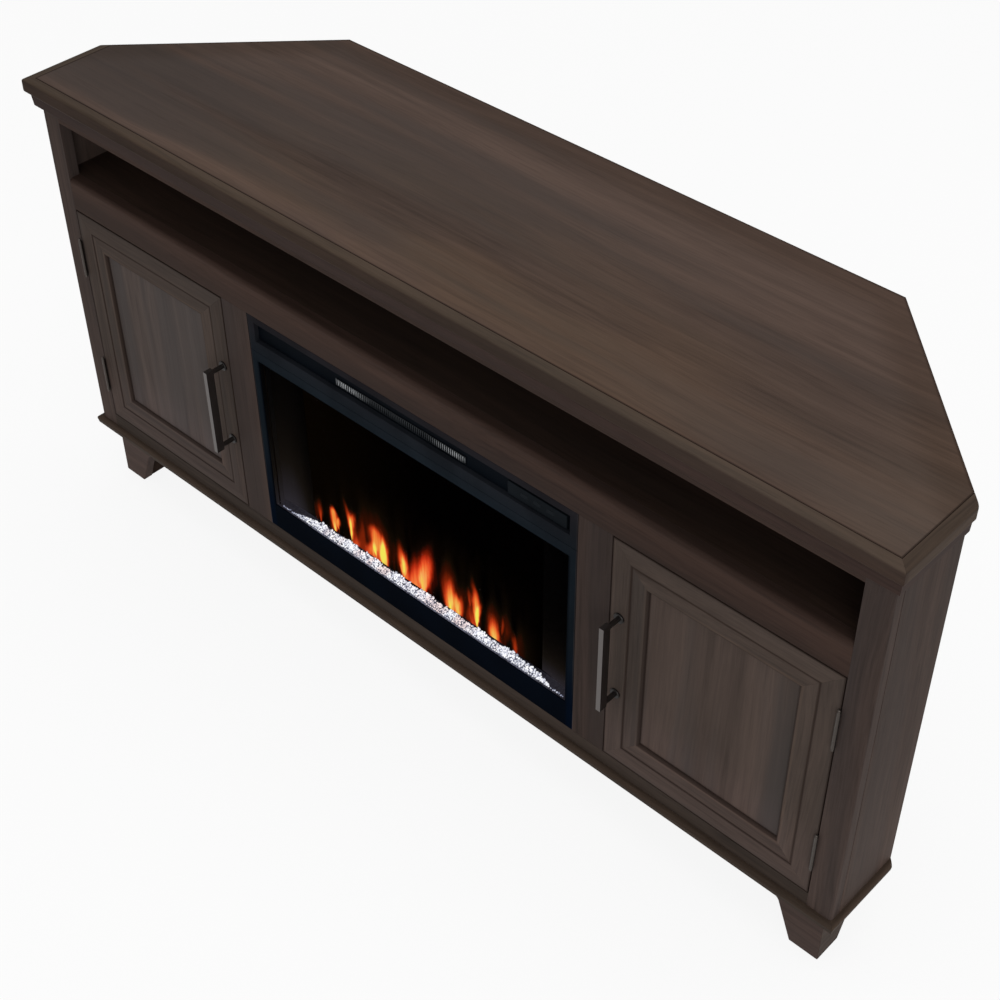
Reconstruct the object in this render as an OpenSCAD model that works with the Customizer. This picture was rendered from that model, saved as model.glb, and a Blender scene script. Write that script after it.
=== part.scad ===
// Corner fireplace cabinet: a wooden media cabinet cut back at 45 degrees on both rear
// corners, with an electric fire in the middle and a cupboard on each side of it.
// X runs left to right, Y from front to back and Z upwards. The origin is on the floor,
// under the middle of the whole object's bounding box.

/* [Top] */
// Width of the top
top_w = 1650; // [1560:10:1800]
// Depth of the top, from its front edge to its back edge
top_d = 440; // [425:5:480]
// Length of the straight end of the top, before the angled edge starts
end_l = 150; // [140:5:175]
// Thickness of the top
top_t = 25; // [20:1:32]
// Overhang of the top in front of the face frame
front_over = 18; // [16:1:24]
// Overhang of the top past each side
side_over = 15; // [13:1:24]
// Width of the edging strip round the front and the ends
edging_w = 16.5; // [12:0.5:18]
// Radius on the edging's long edges
edging_r = 5; // [2:0.5:8]
// Distance of the angled and back boards inside the top's edge
back_inset = 1; // [0.5:0.5:4]
// Height of the crown moulding under the top
crown_h = 25; // [16:1:30]
// Projection of the crown moulding
crown_p = 10; // [7:0.5:12]

/* [Face frame] */
// Thickness of the face frame and of the doors
frame_t = 20; // [19:1:24]
// Width of each corner post
post_w = 41; // [32:1:60]
// Radius on the outer edge of a corner post
post_r = 4; // [1:0.5:8]
// Width of each stile beside the fire
stile_w = 60; // [50:1:80]
// Height of the rail under the top
top_rail_h = 40.5; // [35:0.5:60]
// Height of the open media bay
bay_h = 103; // [90:1:160]
// Height of the rail under the media bay
shelf_rail_h = 58; // [50:1:80]
// Radius on the upper edge of that rail
nose_r = 7; // [2:0.5:10]
// Height of the bottom rail
bottom_rail_h = 25; // [17:0.5:40]

/* [Boards] */
// Thickness of the sides, partitions and shelves
board_t = 16; // [15:1:19]
// Thickness of the back boards
back_t = 12; // [9:1:15]
// Width of the groove between a corner post and its side
groove_w = 2; // [1:0.5:4]
// Radius of each cable hole in the back
cable_r = 25; // [20:1:32]
// Width of the opening in the back behind the fire
access_w = 420; // [300:10:520]
// Height of that opening
access_h = 240; // [160:10:300]

/* [Base] */
// Height of the feet, from the floor to the apron's lower edge
foot_h = 78; // [60:1:100]
// Height of the apron under the cove
apron_h = 26.5; // [20:0.5:50]
// Radius of the cove under the ledge
cove_r = 10; // [6:1:14]
// Thickness of the ledge moulding
ledge_t = 16; // [14:0.5:22]
// Projection of the ledge in front of the cabinet
ledge_p = 9; // [7:0.5:12]
// Setback of the plinth behind the cabinet's face
plinth_in = 18; // [15:1:24]
// Thickness of the plinth boards
plinth_t = 18; // [15:1:22]
// Width of a front foot at the floor
foot_w = 49.5; // [40:0.5:70]
// Sideways lean of a front foot's inner edge over its height
foot_lean = 30; // [15:1:40]
// Radius where a foot runs into the apron
foot_r = 16; // [8:1:24]
// Width of the hidden rear and middle feet
rear_foot_w = 50; // [40:1:70]

/* [Doors] */
// Gap round a door at its sides and bottom
door_gap = 2; // [1.9:0.1:3]
// Gap above a door
door_top_gap = 2.8; // [2:0.1:4]
// Width of a door frame's flat rim
rim_w = 32; // [26:1:45]
// Width of the moulded band inside the rim
band_w = 30; // [20:1:36]
// Depth from the front of the frame to the panel
panel_in = 6; // [5:0.5:8]
// Thickness of a door panel
panel_t = 6; // [4:0.5:8]
// Depth of the groove that holds the panel
panel_tongue = 8; // [5:1:12]
// Running clearance between pieces that slide or drop into each other
clearance = 0.3; // [0.2:0.05:0.4]

/* [Hinges and handles] */
// Length of a hinge barrel
hinge_l = 66; // [56:1:90]
// Distance from a door's end to the middle of its hinge
hinge_end = 92; // [70:1:110]
// Radius of a hinge barrel
barrel_r = 2.6; // [2.5:0.1:3.2]
// Distance of the barrel's axis in front of the door
barrel_out = 4; // [3.8:0.1:5]
// Radius of a hinge pin
pin_r = 1.3; // [1.2:0.1:1.7]
// Length of a handle's bar
handle_l = 165; // [120:1:220]
// Distance between a handle's two posts
handle_pitch = 152; // [96:1:160]
// Width of a handle's bar
handle_w = 8; // [7:0.5:14]
// Depth of a handle's bar
handle_t = 14.5; // [8:0.5:16]
// Finger room between a handle's bar and the door
handle_room = 23.5; // [22:0.5:36]
// Distance from the door's edge to the middle of its handle
handle_edge = 16.5; // [14:0.5:24]
// Radius of the round plate under a handle's post
rose_r = 8.5; // [6.5:0.5:11]

/* [Electric fire] */
// Width of the fire's front frame
fire_w = 674; // [600:2:720]
// Height of the fire's front frame
fire_h = 436; // [420:1:480]
// Gap round the fire's front frame
fire_gap = 0.5; // [0.5:0.1:1]
// Thickness of the front frame
bezel_t = 8; // [7:0.5:12]
// Thickness of its lip in front of the glass
lip_t = 2; // [1.5:0.5:3]
// Width of the front frame's sides
bezel_w = 15; // [14:1:24]
// Height of the front frame's lower bar
bezel_low = 51; // [45:1:60]
// Height of the front frame's top bar
bezel_top = 12; // [10:1:20]
// Height of the air slot under the top bar
slot_h = 35; // [30:1:40]
// Height of the bar between the air slot and the glass
bezel_mid = 39; // [38:1:50]
// Thickness of the glass
glass_t = 4; // [3:0.5:5]
// Lap of the glass behind the front frame, all round
glass_lap = 9; // [8:0.5:10]
// Depth of the fire's steel case
case_d = 180; // [160:5:200]
// Thickness of the steel sheet
sheet_t = 1.2; // [0.8:0.1:1.5]
// Depth of the ember bed between the glass and the flame screen
bed_d = 20.5; // [18:0.5:24]
// Width of the air grille
grille_w = 266; // [200:2:300]
// Height of the air grille
grille_h = 11; // [9:0.5:14]
// Spacing of the grille's bars
grille_pitch = 4; // [3.5:0.25:6]
// Sideways place of the air grille's middle
grille_x = -13; // [-20:1:0]
// Width of the control panel
control_w = 109; // [90:1:120]
// Height of the control panel
control_h = 23.5; // [20:0.5:26]
// Distance from the control panel to the front frame's side
control_end = 9; // [6:1:20]
// Travel of a push button
button_travel = 1; // [0.5:0.1:1.2]
// Radius of the flame rotor over its blades
rotor_r = 15; // [12:0.5:18]
// Radius of the blower wheel
wheel_r = 20; // [16:0.5:21]
// Number of blades on the blower wheel
wheel_blades = 24; // [16:1:32]

/* [Hidden] */
$fn = 48;

// Colours
wood = "#4b3f39";
dark_wood = "#2c2420";
black = "#1c2026";
steel = "#b9bbbd";

// Heights, from the floor up
ledge_z = foot_h + apron_h + cove_r;
base_z = ledge_z + ledge_t;
floor_z = base_z + bottom_rail_h;
opening_z = floor_z + fire_h + 2 * fire_gap;
shelf_z = opening_z + shelf_rail_h;
bay_z = shelf_z + bay_h;
slab_z = bay_z + top_rail_h;
height = slab_z + top_t;
plinth_top = ledge_z - cove_r;

// Plan: the face frame's front plane is Y = 0 here, and at_face() moves it into place
body_x = top_w / 2 - side_over;
slab_back = top_d - front_over;
back_y = slab_back - back_inset;
// The sum of |X| and Y is constant along each 45 degree edge
slab_sum = top_w / 2 + end_l - front_over;
outer_sum = slab_sum - back_inset * sqrt(2);
inner_sum = outer_sum - back_t * sqrt(2);
inner_y = back_y - back_t;
inner_x = body_x - board_t;
handle_reach = handle_room + handle_t;
face_y = (handle_reach - slab_back) / 2;

// Doors
fire_x = fire_w / 2 + fire_gap;
part_in = fire_x + 2.5;
part_out = part_in + board_t;
door_x0 = fire_x + stile_w + door_gap;
door_x1 = body_x - post_w - door_gap;
door_z0 = floor_z + door_gap;
door_z1 = opening_z - door_top_gap;
door_w = door_x1 - door_x0;
door_h = door_z1 - door_z0;
member_w = rim_w + band_w;
handle_x = door_x0 + handle_edge;
handle_z = (door_z0 + door_z1) / 2;
hinge_x = door_x1 + door_gap / 2;
hinge_zs = [door_z0 + hinge_end, door_z1 - hinge_end];
leaf_t = door_gap / 2 - 0.1;
leaf_d = 15;
knuckles = 5;
knuckle_l = hinge_l / knuckles;
knuckle_gap = 0.2;
pin_fit = 0.05;
rose_t = 3;
screw_r = 2;
// Hairline left by the glue in a mitred corner
joint_w = 0.03;

// Shelves in the cupboards
pin_peg_r = 2.5;
pin_l = 16;
pin_depth = 8;
shelf_mid_z = (floor_z + opening_z) / 2;
shelf_front = frame_t + 30;
pin_rows = [[part_out, 80], [part_out, inner_y - 40], [inner_x, 75], [inner_x, 122]];

// Electric fire
fire_z = floor_z + fire_gap;
glass_low = fire_z + bezel_low;
slot_top = fire_z + fire_h - bezel_top;
slot_low = slot_top - slot_h;
glass_high = slot_low - bezel_mid;
window_x = fire_w / 2 - bezel_w;
glass_y = lip_t + 0.2;
flange_d = 4.2;
case_y = bezel_t + flange_d + clearance;
case_x = fire_w / 2 - 12;
case_top = fire_z + fire_h - 3;
case_back = case_y + case_d;
deck_z = glass_high + 20;
screen_t = 3;
screen_y = glass_y + glass_t + bed_d + 0.3;
tray_z = glass_low - glass_lap;
tray_t = 2;
tray_y0 = glass_y + glass_t + clearance;
tray_y1 = screen_y - clearance;
crystal_rows = 3;
outlet_t = 1.5;
outlet_y = bezel_t + outlet_t;
grille_z = slot_low + grille_h;
grille_rim = 1.5;
control_x = window_x + 1 - control_end - control_w / 2;
control_z = (slot_low + slot_top) / 2 - 3;
control_t = 4;
button_w = 14;
button_h = 7;
button_t = 2.6;
button_pitch = 24;
switch_y = outlet_y + 4.2;
board_y = switch_y + 2.4;
rotor_y = screen_y + screen_t + rotor_r + 16;
rotor_z = tray_z + 24;
rotor_end = case_x - 24;
shaft_r = 2;
blower_y = case_y + 58;
blower_z = (deck_z + case_top) / 2;
blower_x0 = grille_x - grille_w / 2;
blower_x1 = grille_x + grille_w / 2;
wheel_shaft_r = 3;
bracket_w = 30;
bracket_t = 1.5;
bracket_end = 90;
bracket_in = 12;
vent_w = 36;
vent_h = 5;
vent_pitch = 44;
vent_rise = 14;
inlet_in = 45;
inlet_up = 40;

// ---- helpers ----

// Moves a piece drawn from the face frame's plane into the part's frame
module at_face() { translate([0, face_y, 0]) children(); }

// The piece and its mirror image on the other side
module both_sides() { children(); mirror([1, 0, 0]) children(); }

// side -1 mirrors a piece that is drawn on the right
module on_side(side) { scale_side = side < 0 ? 1 : 0; mirror([scale_side, 0, 0]) children(); }

// Outline of the cabinet in plan, with both rear corners cut along |X| + Y = sum
function plan(half_w, front, back, sum) = [[-half_w, front], [half_w, front],
  [half_w, sum - half_w], [sum - back, back], [back - sum, back], [-half_w, sum - half_w]];

// Points along an arc
function arc(c, r, a0, a1, n = 6) =
  [for (i = [0:n]) let (a = a0 + (a1 - a0) * i / n) c + r * [cos(a), sin(a)]];

// A box from one corner to the opposite one
module box(low, high) { translate(low) cube(high - low); }

// A cylinder along X
module rod_x(x0, x1, y, z, r) { translate([x0, y, z]) rotate([0, 90, 0]) cylinder(r = r, h = x1 - x0); }

// A cylinder along Y
module rod_y(y0, y1, x, z, r) { translate([x, y1, z]) rotate([90, 0, 0]) cylinder(r = r, h = y1 - y0); }

// A board seen from the front: an outline in X and Z, from depth y0 to y1
module front_board(y0, y1) { translate([0, y1, 0]) rotate([90, 0, 0]) linear_extrude(y1 - y0) children(); }

// A strip with a constant section along X, given as points of Y and Z
module strip_x(x0, x1) { translate([x0, 0, 0]) rotate([90, 0, 90]) linear_extrude(x1 - x0) children(); }

// A moulding along the front and both ends, mitred at the front corners. The section's
// points are the distance outwards from the line through (half_w, front) and the height.
module wrapped_moulding(half_w, front, reach, section, sum) {
  low_x = half_w - reach;
  high_x = half_w + reach;
  end_y = sum - low_x;
  intersection() {
    strip_x(-high_x, high_x) polygon([for (s = section) [front - s[0], s[1]]]);
    linear_extrude(height) polygon([[joint_w - high_x, front - reach], [high_x - joint_w, front - reach],
      [low_x - joint_w, front + reach], [joint_w - low_x, front + reach]]);
  }
  both_sides() intersection() {
    front_board(front - reach, end_y) polygon([for (s = section) [half_w + s[0], s[1]]]);
    linear_extrude(height) polygon([[high_x, front - reach], [high_x, sum - high_x],
      [low_x, end_y], [low_x, front + reach]]);
  }
}

// A bar along X with both ends mitred, wider at Y = 0 than at Y = width
module mitred_bar(length, width, depth, section) {
  intersection() {
    strip_x(0, length) polygon(section);
    linear_extrude(depth) polygon([[joint_w, 0], [length - joint_w, 0],
      [length - width - joint_w, width], [width + joint_w, width]]);
  }
}

// Four mitred bars round a rectangle
module mitred_frame(w, h, width, depth, section) {
  mitred_bar(w, width, depth, section);
  translate([w, 0, 0]) rotate([0, 0, 90]) mitred_bar(h, width, depth, section);
  translate([w, h, 0]) rotate([0, 0, 180]) mitred_bar(w, width, depth, section);
  translate([0, h, 0]) rotate([0, 0, 270]) mitred_bar(h, width, depth, section);
}

// ---- top ----

module top_panel() color(wood) at_face()
  translate([0, 0, slab_z]) linear_extrude(top_t)
    polygon(plan(top_w / 2 - edging_w, edging_w - front_over, slab_back, slab_sum));

module top_edging() color(wood) at_face()
  wrapped_moulding(top_w / 2 - edging_w, edging_w - front_over, edging_w + 4, concat(
    [[0, slab_z]],
    arc([edging_w - edging_r, slab_z + edging_r], edging_r, -90, 0),
    arc([edging_w - edging_r, height - edging_r], edging_r, 0, 90),
    [[0.8, height], [0, height - 1.2]]), slab_sum);

module crown_moulding() color(wood) at_face()
  wrapped_moulding(body_x, 0, crown_p + 4, concat(
    [[0, slab_z - crown_h]],
    arc([crown_p - 4, slab_z - crown_h + 2], 2, -90, -5),
    arc([crown_p - 1.5, slab_z - 1.5], 1.5, 0, 90),
    [[0, slab_z]]), outer_sum);

// ---- face frame ----

module corner_posts() color(wood) at_face() both_sides()
  translate([0, 0, base_z]) linear_extrude(slab_z - base_z) polygon(concat(
    [[body_x - post_w, 0]],
    arc([body_x - post_r, post_r], post_r, -90, 0),
    [[body_x, frame_t - groove_w / 2], [body_x - groove_w / 2, frame_t],
      [body_x - post_w, frame_t]]));

module frame_rail(z0, z1, upper_r) {
  rail_x = body_x - post_w;
  strip_x(-rail_x, rail_x) polygon(concat(
    [[0, z0]],
    [for (p = arc([upper_r, z1 - upper_r], upper_r, 180, 90)) p],
    [[frame_t, z1], [frame_t, z0]]));
}

module top_rail() color(wood) at_face() frame_rail(bay_z, slab_z, 0.1);

module shelf_rail() color(wood) at_face() frame_rail(opening_z, shelf_z, nose_r);

module bottom_rail() color(wood) at_face() frame_rail(base_z, floor_z, 1);

module fire_stiles() color(wood) at_face() both_sides()
  box([fire_x, 0, floor_z], [fire_x + stile_w, frame_t, opening_z]);

// ---- boards ----

module inner_board(z1, t) {
  translate([0, 0, z1 - t]) linear_extrude(t) polygon(plan(inner_x, frame_t, inner_y, inner_sum));
}

module media_shelf() color(wood) at_face() inner_board(shelf_z, board_t);

module bottom_panel() color(dark_wood) at_face() inner_board(floor_z, bottom_rail_h);

// A side, with the holes for the shelf pegs
module side_panels() color(wood) at_face() both_sides() difference() {
  translate([0, 0, base_z]) linear_extrude(slab_z - base_z) polygon([
    [inner_x, frame_t], [body_x - groove_w / 2, frame_t], [body_x, frame_t + groove_w / 2],
    [body_x, outer_sum - body_x], [inner_x, inner_sum - inner_x]]);
  peg_holes(inner_x);
}

module angled_backs() color(dark_wood) at_face() both_sides()
  translate([0, 0, base_z]) linear_extrude(slab_z - base_z) polygon([
    [body_x, outer_sum - body_x], [outer_sum - back_y, back_y],
    [inner_sum - inner_y, inner_y], [inner_x, inner_sum - inner_x]]);

// The middle back board, with cable holes and the opening behind the fire
module centre_back() color(dark_wood) at_face() difference() {
  translate([0, 0, base_z]) linear_extrude(slab_z - base_z) polygon([
    [outer_sum - back_y, back_y], [back_y - outer_sum, back_y],
    [inner_y - inner_sum, inner_y], [inner_sum - inner_y, inner_y]]);
  for (side = [-1, 1]) {
    rod_y(inner_y - 1, back_y + 1, side * 260, (shelf_z + bay_z) / 2, cable_r);
    rod_y(inner_y - 1, back_y + 1, side * (part_out + 70), opening_z - 90, cable_r);
  }
  box([-access_w / 2, inner_y - 1, floor_z + 90], [access_w / 2, back_y + 1, floor_z + 90 + access_h]);
}

module partitions() color(dark_wood) at_face() both_sides() difference() {
  box([part_in, frame_t, floor_z], [part_out, inner_y, shelf_z - board_t]);
  peg_holes(part_out);
}

// ---- base ----

module base_moulding() color(wood) at_face()
  wrapped_moulding(body_x, 0, 64, concat(
    [[-60, base_z]],
    arc([ledge_p - 6, base_z - 6], 6, 90, 0),
    arc([ledge_p - 3.5, ledge_z + 2], 2, 0, -90, 3),
    arc([cove_r - plinth_in, plinth_top], cove_r, 90, 180, 8),
    [[-plinth_in - plinth_t, plinth_top], [-plinth_in - plinth_t, ledge_z], [-60, ledge_z]]),
    outer_sum);

// Inner edge of a bracket foot: distance from the outer corner and height
foot_angle = atan(foot_lean / foot_h);
foot_tangent = foot_r * tan((90 - foot_angle) / 2);
foot_curve = concat([[foot_w, 0]],
  arc([foot_w + foot_lean + foot_tangent, foot_h - foot_r], foot_r, 180 - foot_angle, 90, 8));
plinth_x = body_x - plinth_in;

// The front board, with a bracket foot at each end
module front_plinth() color(wood) at_face() intersection() {
  front_board(plinth_in, plinth_in + plinth_t) polygon(concat(
    [[-plinth_x, plinth_top], [plinth_x, plinth_top], [plinth_x, 0]],
    [for (p = foot_curve) [plinth_x - p[0], p[1]]],
    [for (i = [len(foot_curve) - 1:-1:0]) [foot_curve[i][0] - plinth_x, foot_curve[i][1]]],
    [[-plinth_x, 0]]));
  linear_extrude(height) polygon([[-plinth_x, plinth_in], [plinth_x, plinth_in],
    [plinth_x - plinth_t, plinth_in + plinth_t], [plinth_t - plinth_x, plinth_in + plinth_t]]);
}

// The end boards, each with its half of the bracket foot
module side_plinths() color(wood) at_face() both_sides() intersection() {
  strip_x(plinth_x - plinth_t, plinth_x) polygon(concat(
    [[plinth_in, 0]],
    [for (p = foot_curve) p + [plinth_in, 0]],
    [[outer_sum - plinth_x + plinth_t, foot_h], [outer_sum - plinth_x + plinth_t, plinth_top],
      [plinth_in, plinth_top]]));
  linear_extrude(height) polygon([[plinth_x, plinth_in], [plinth_x, outer_sum - plinth_x],
    [plinth_x - plinth_t, outer_sum - plinth_x + plinth_t],
    [plinth_x - plinth_t, plinth_in + plinth_t]]);
}

// Glue blocks inside the front feet
module corner_blocks() color(dark_wood) at_face() both_sides() {
  block_x = plinth_x - plinth_t;
  block_y = plinth_in + plinth_t;
  block_w = foot_w - plinth_t;
  box([block_x - block_w, block_y, 2], [block_x, block_y + block_w, plinth_top]);
}

// Two feet under the back corners and one under the middle
module rear_feet() color(dark_wood) at_face() {
  corner_x = outer_sum - back_y;
  both_sides() box([corner_x - rear_foot_w, inner_y - rear_foot_w, 0], [corner_x, inner_y, base_z]);
  box([-rear_foot_w / 2, inner_y / 2 - rear_foot_w / 2, 0],
    [rear_foot_w / 2, inner_y / 2 + rear_foot_w / 2, base_z]);
}

// ---- cupboards ----

// Holes for the pegs that stand on the face at x
module peg_holes(x) {
  for (row = pin_rows) if (row[0] == x)
    rod_x(x - pin_depth - 0.5, x + pin_depth + 0.5, row[1], peg_z(), pin_peg_r + pin_fit);
}
function peg_z() = shelf_mid_z - board_t / 2 - pin_peg_r - 0.1;

module cupboard_shelves() color(dark_wood) at_face() both_sides() {
  shelf_sum = inner_sum - 0.7;
  translate([0, 0, shelf_mid_z - board_t / 2]) linear_extrude(board_t) polygon([
    [part_out + 0.5, shelf_front], [inner_x - 0.5, shelf_front],
    [inner_x - 0.5, shelf_sum - inner_x + 0.5], [shelf_sum - inner_y + 0.5, inner_y - 0.5],
    [part_out + 0.5, inner_y - 0.5]]);
}

module shelf_pins() color(steel) at_face() both_sides() for (row = pin_rows)
  rod_x(row[0] - pin_depth, row[0] + pin_depth, row[1], peg_z(), pin_peg_r);

// Magnetic catches behind the stiles beside the fire
catch_z = door_z1 - 34;
catch_h = 24;
module door_catches() color("#8a8a8a") at_face() both_sides() {
  stile_out = fire_x + stile_w;
  box([part_out + 14, frame_t, catch_z - catch_h / 2], [stile_out - 1, frame_t + 4, catch_z + catch_h / 2]);
  box([stile_out - 14, frame_t + 1.5, catch_z - catch_h / 2],
    [door_x0 + 15, frame_t + 16, catch_z + catch_h / 2]);
}

module strike_plate(side) color(steel) at_face() on_side(side)
  box([door_x0 + 3, frame_t, catch_z - catch_h / 2], [door_x0 + 14, frame_t + 1.2, catch_z + catch_h / 2]);

module left_strike_plate() strike_plate(-1);

module right_strike_plate() strike_plate(1);

// ---- doors ----

// Section of a door frame: distance from the door's edge and depth from its front
door_section = concat(
  [[0, 0], [rim_w, 0], [rim_w + 0.8, 1.1], [rim_w + 1.8, 0.6], [rim_w + band_w / 2, 0.2]],
  arc([member_w - 4, 4.6], 4, -90, 0),
  [[member_w, panel_in - 0.15], [member_w - panel_tongue - 0.5, panel_in - 0.15],
    [member_w - panel_tongue - 0.5, panel_in + panel_t + 0.15],
    [member_w, panel_in + panel_t + 0.15], [member_w, frame_t], [0, frame_t]]);

module door_frame(side) color(wood) at_face() on_side(side) difference() {
  translate([door_x1, 0, door_z0]) rotate([90, 0, 180])
    mitred_frame(door_w, door_h, member_w, frame_t, door_section);
  for (end = [-1, 1])
    rod_y(-1, frame_t + 1, handle_x, handle_z + end * handle_pitch / 2, screw_r + 0.2);
}

module left_door_frame() door_frame(-1);

module right_door_frame() door_frame(1);

module door_panel(side) color(wood) at_face() on_side(side) {
  reach = member_w - panel_tongue;
  box([door_x0 + reach, panel_in, door_z0 + reach], [door_x1 - reach, panel_in + panel_t, door_z1 - reach]);
}

module left_door_panel() door_panel(-1);

module right_door_panel() door_panel(1);

// ---- hinges ----

// One knuckle and the tab that joins it to its leaf; side +1 is the post's leaf
module knuckle(index, side) {
  z0 = index * knuckle_l - hinge_l / 2 + knuckle_gap / 2;
  h = knuckle_l - knuckle_gap;
  translate([0, 0, z0]) cylinder(r = barrel_r, h = h);
  leaf_x = side > 0 ? 0.1 : -0.1 - leaf_t;
  box([leaf_x, 0, z0], [leaf_x + leaf_t, barrel_out, z0 + h]);
}

// A hinge leaf with its knuckles, round the pin's axis
module hinge_leaf(side) difference() {
  union() {
    leaf_x = side > 0 ? 0.1 : -0.1 - leaf_t;
    box([leaf_x, barrel_r + 0.4, -hinge_l / 2], [leaf_x + leaf_t, barrel_out + leaf_d, hinge_l / 2]);
    for (i = [0:knuckles - 1]) if ((i % 2 == 0) == (side > 0)) knuckle(i, side);
  }
  translate([0, 0, -hinge_l]) cylinder(r = pin_r + pin_fit, h = 2 * hinge_l);
}

module at_hinges() for (z = hinge_zs) translate([hinge_x, -barrel_out, z]) children();

module jamb_leaves() color(steel) at_face() both_sides() at_hinges() hinge_leaf(1);

module door_leaves(side) color(steel) at_face() on_side(side) at_hinges() hinge_leaf(-1);

module left_door_leaves() door_leaves(-1);

module right_door_leaves() door_leaves(1);

// A pin with a turned finial at each end
module hinge_pin() {
  cylinder(r = pin_r, h = hinge_l, center = true);
  for (end = [0, 1]) mirror([0, 0, end]) translate([0, 0, hinge_l / 2]) rotate_extrude()
    polygon(concat([[0, 0], [barrel_r, 0], [barrel_r, 1], [barrel_r - 1, 1.8]],
      arc([0, 3.6], 2.2, -35, 90)));
}

module hinge_pins() color(steel) at_face() both_sides() at_hinges() hinge_pin();

// ---- handles ----

module handle(side) color("#6f6d6a") at_face() on_side(side) translate([handle_x, 0, handle_z]) {
  box([-handle_w / 2, -handle_reach, -handle_l / 2], [handle_w / 2, -handle_room, handle_l / 2]);
  for (end = [-1, 1]) difference() {
    rod_y(-handle_room - 1, -rose_t, 0, end * handle_pitch / 2, handle_w / 2);
    rod_y(-rose_t - 16, 0, 0, end * handle_pitch / 2, screw_r + pin_fit);
  }
}

module left_handle() handle(-1);

module right_handle() handle(1);

// Round plates under the posts, and the screws through the door
module handle_fixings(side) color("#3b3a39") at_face() on_side(side)
  for (end = [-1, 1]) translate([handle_x, 0, handle_z + end * handle_pitch / 2]) {
    difference() {
      translate([0, 0, 0]) rotate([90, 0, 0]) rotate_extrude() polygon(
        [[0, 0], [rose_r, 0], [rose_r, rose_t - 1.2], [rose_r - 1.2, rose_t], [0, rose_t]]);
      rod_y(-rose_t - 1, 1, 0, 0, screw_r + 0.2);
    }
    rod_y(-rose_t - 14, frame_t + 0.5, 0, 0, screw_r);
    rod_y(frame_t, frame_t + 2.4, 0, 0, 2 * screw_r);
  }

module left_handle_fixings() handle_fixings(-1);

module right_handle_fixings() handle_fixings(1);

// ---- electric fire: front ----

module fire_bezel() color(black) at_face() {
  difference() {
    box([-fire_w / 2, 0, fire_z], [fire_w / 2, bezel_t, fire_z + fire_h]);
    box([-window_x, -1, glass_low], [window_x, bezel_t + 1, glass_high]);
    box([-window_x - glass_lap - clearance, lip_t, glass_low - glass_lap - clearance],
      [window_x + glass_lap + clearance, bezel_t + 1, glass_high + glass_lap + clearance]);
    box([-window_x - 1, -1, slot_low], [window_x + 1, bezel_t + 1, slot_top]);
    box([-fire_w / 2 - 1, -1, deck_z - 2], [fire_w / 2 + 1, 1, deck_z - 0.8]);
  }
  difference() {
    box([-fire_w / 2, bezel_t, fire_z], [fire_w / 2, case_y - clearance, fire_z + fire_h]);
    box([-fire_w / 2 + 1.5, bezel_t - 1, fire_z + 1.5],
      [fire_w / 2 - 1.5, case_y + 1, fire_z + fire_h - 1.5]);
  }
}

module fire_glass() color([0.08, 0.08, 0.1, 0.5]) at_face()
  box([-window_x - glass_lap, glass_y, glass_low - glass_lap],
    [window_x + glass_lap, glass_y + glass_t, glass_high + glass_lap]);

// The plate behind the air slot, with the outlet and the holes for the buttons' stems
module outlet_panel() color(black) at_face() difference() {
  box([-window_x - 7, bezel_t, slot_low - 8], [window_x + 7, outlet_y, slot_top + 7]);
  box([blower_x0 + 1, bezel_t - 1, grille_z - grille_h / 2 + 1],
    [blower_x1 - 1, outlet_y + 1, grille_z + grille_h / 2 - 1]);
  for (i = [-1:1]) rod_y(bezel_t - 1, outlet_y + 1, control_x + i * button_pitch, control_z, 2.5);
}

// A rim with upright bars
module outlet_grille() color("#d9dbdd") at_face() {
  bars = floor(grille_w / grille_pitch);
  difference() {
    box([blower_x0 - grille_rim, bezel_t - 1.5, grille_z - grille_h / 2 - grille_rim],
      [blower_x1 + grille_rim, bezel_t, grille_z + grille_h / 2 + grille_rim]);
    for (i = [0:bars - 1]) {
      x = blower_x0 + grille_w * (i + 0.5) / bars;
      box([x - grille_pitch * 0.28, 0, grille_z - grille_h / 2],
        [x + grille_pitch * 0.28, bezel_t + 1, grille_z + grille_h / 2]);
    }
  }
}

module control_panel() color(black) at_face() difference() {
  box([control_x - control_w / 2, bezel_t - control_t, control_z - control_h / 2],
    [control_x + control_w / 2, bezel_t, control_z + control_h / 2]);
  for (i = [-1:1]) translate([control_x + i * button_pitch, 0, control_z])
    box([-button_w / 2 - clearance, 0, -button_h / 2 - clearance],
      [button_w / 2 + clearance, bezel_t + 1, button_h / 2 + clearance]);
}

// A flat cap with a stem that reaches its switch
module push_button(index) color("#2a2e34") at_face()
  translate([control_x + index * button_pitch, 0, control_z]) {
  front = bezel_t - control_t;
  box([-button_w / 2, front, -button_h / 2], [button_w / 2, front + button_t, button_h / 2]);
  rod_y(front + button_t - 0.5, switch_y - button_travel - 0.2, 0, 0, 2);
}

module power_button() push_button(-1);

module flame_button() push_button(0);

module heat_button() push_button(1);

// Circuit board on four posts, with a switch behind each button
module control_board() color("#1f5a3a") at_face() translate([control_x, 0, control_z]) {
  half_w = control_w / 2;
  half_h = slot_h / 2 - 3;
  box([-half_w, board_y, -half_h], [half_w, board_y + 1.6, half_h]);
  for (x = [-1, 1], z = [-1, 1]) rod_y(outlet_y, board_y + 0.5, x * (half_w - 5), z * (half_h - 4), 3);
  for (i = [-1:1]) translate([i * button_pitch, 0, 0]) box([-3, switch_y, -3], [3, board_y + 0.5, 3]);
}

// ---- electric fire: case ----

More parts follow.
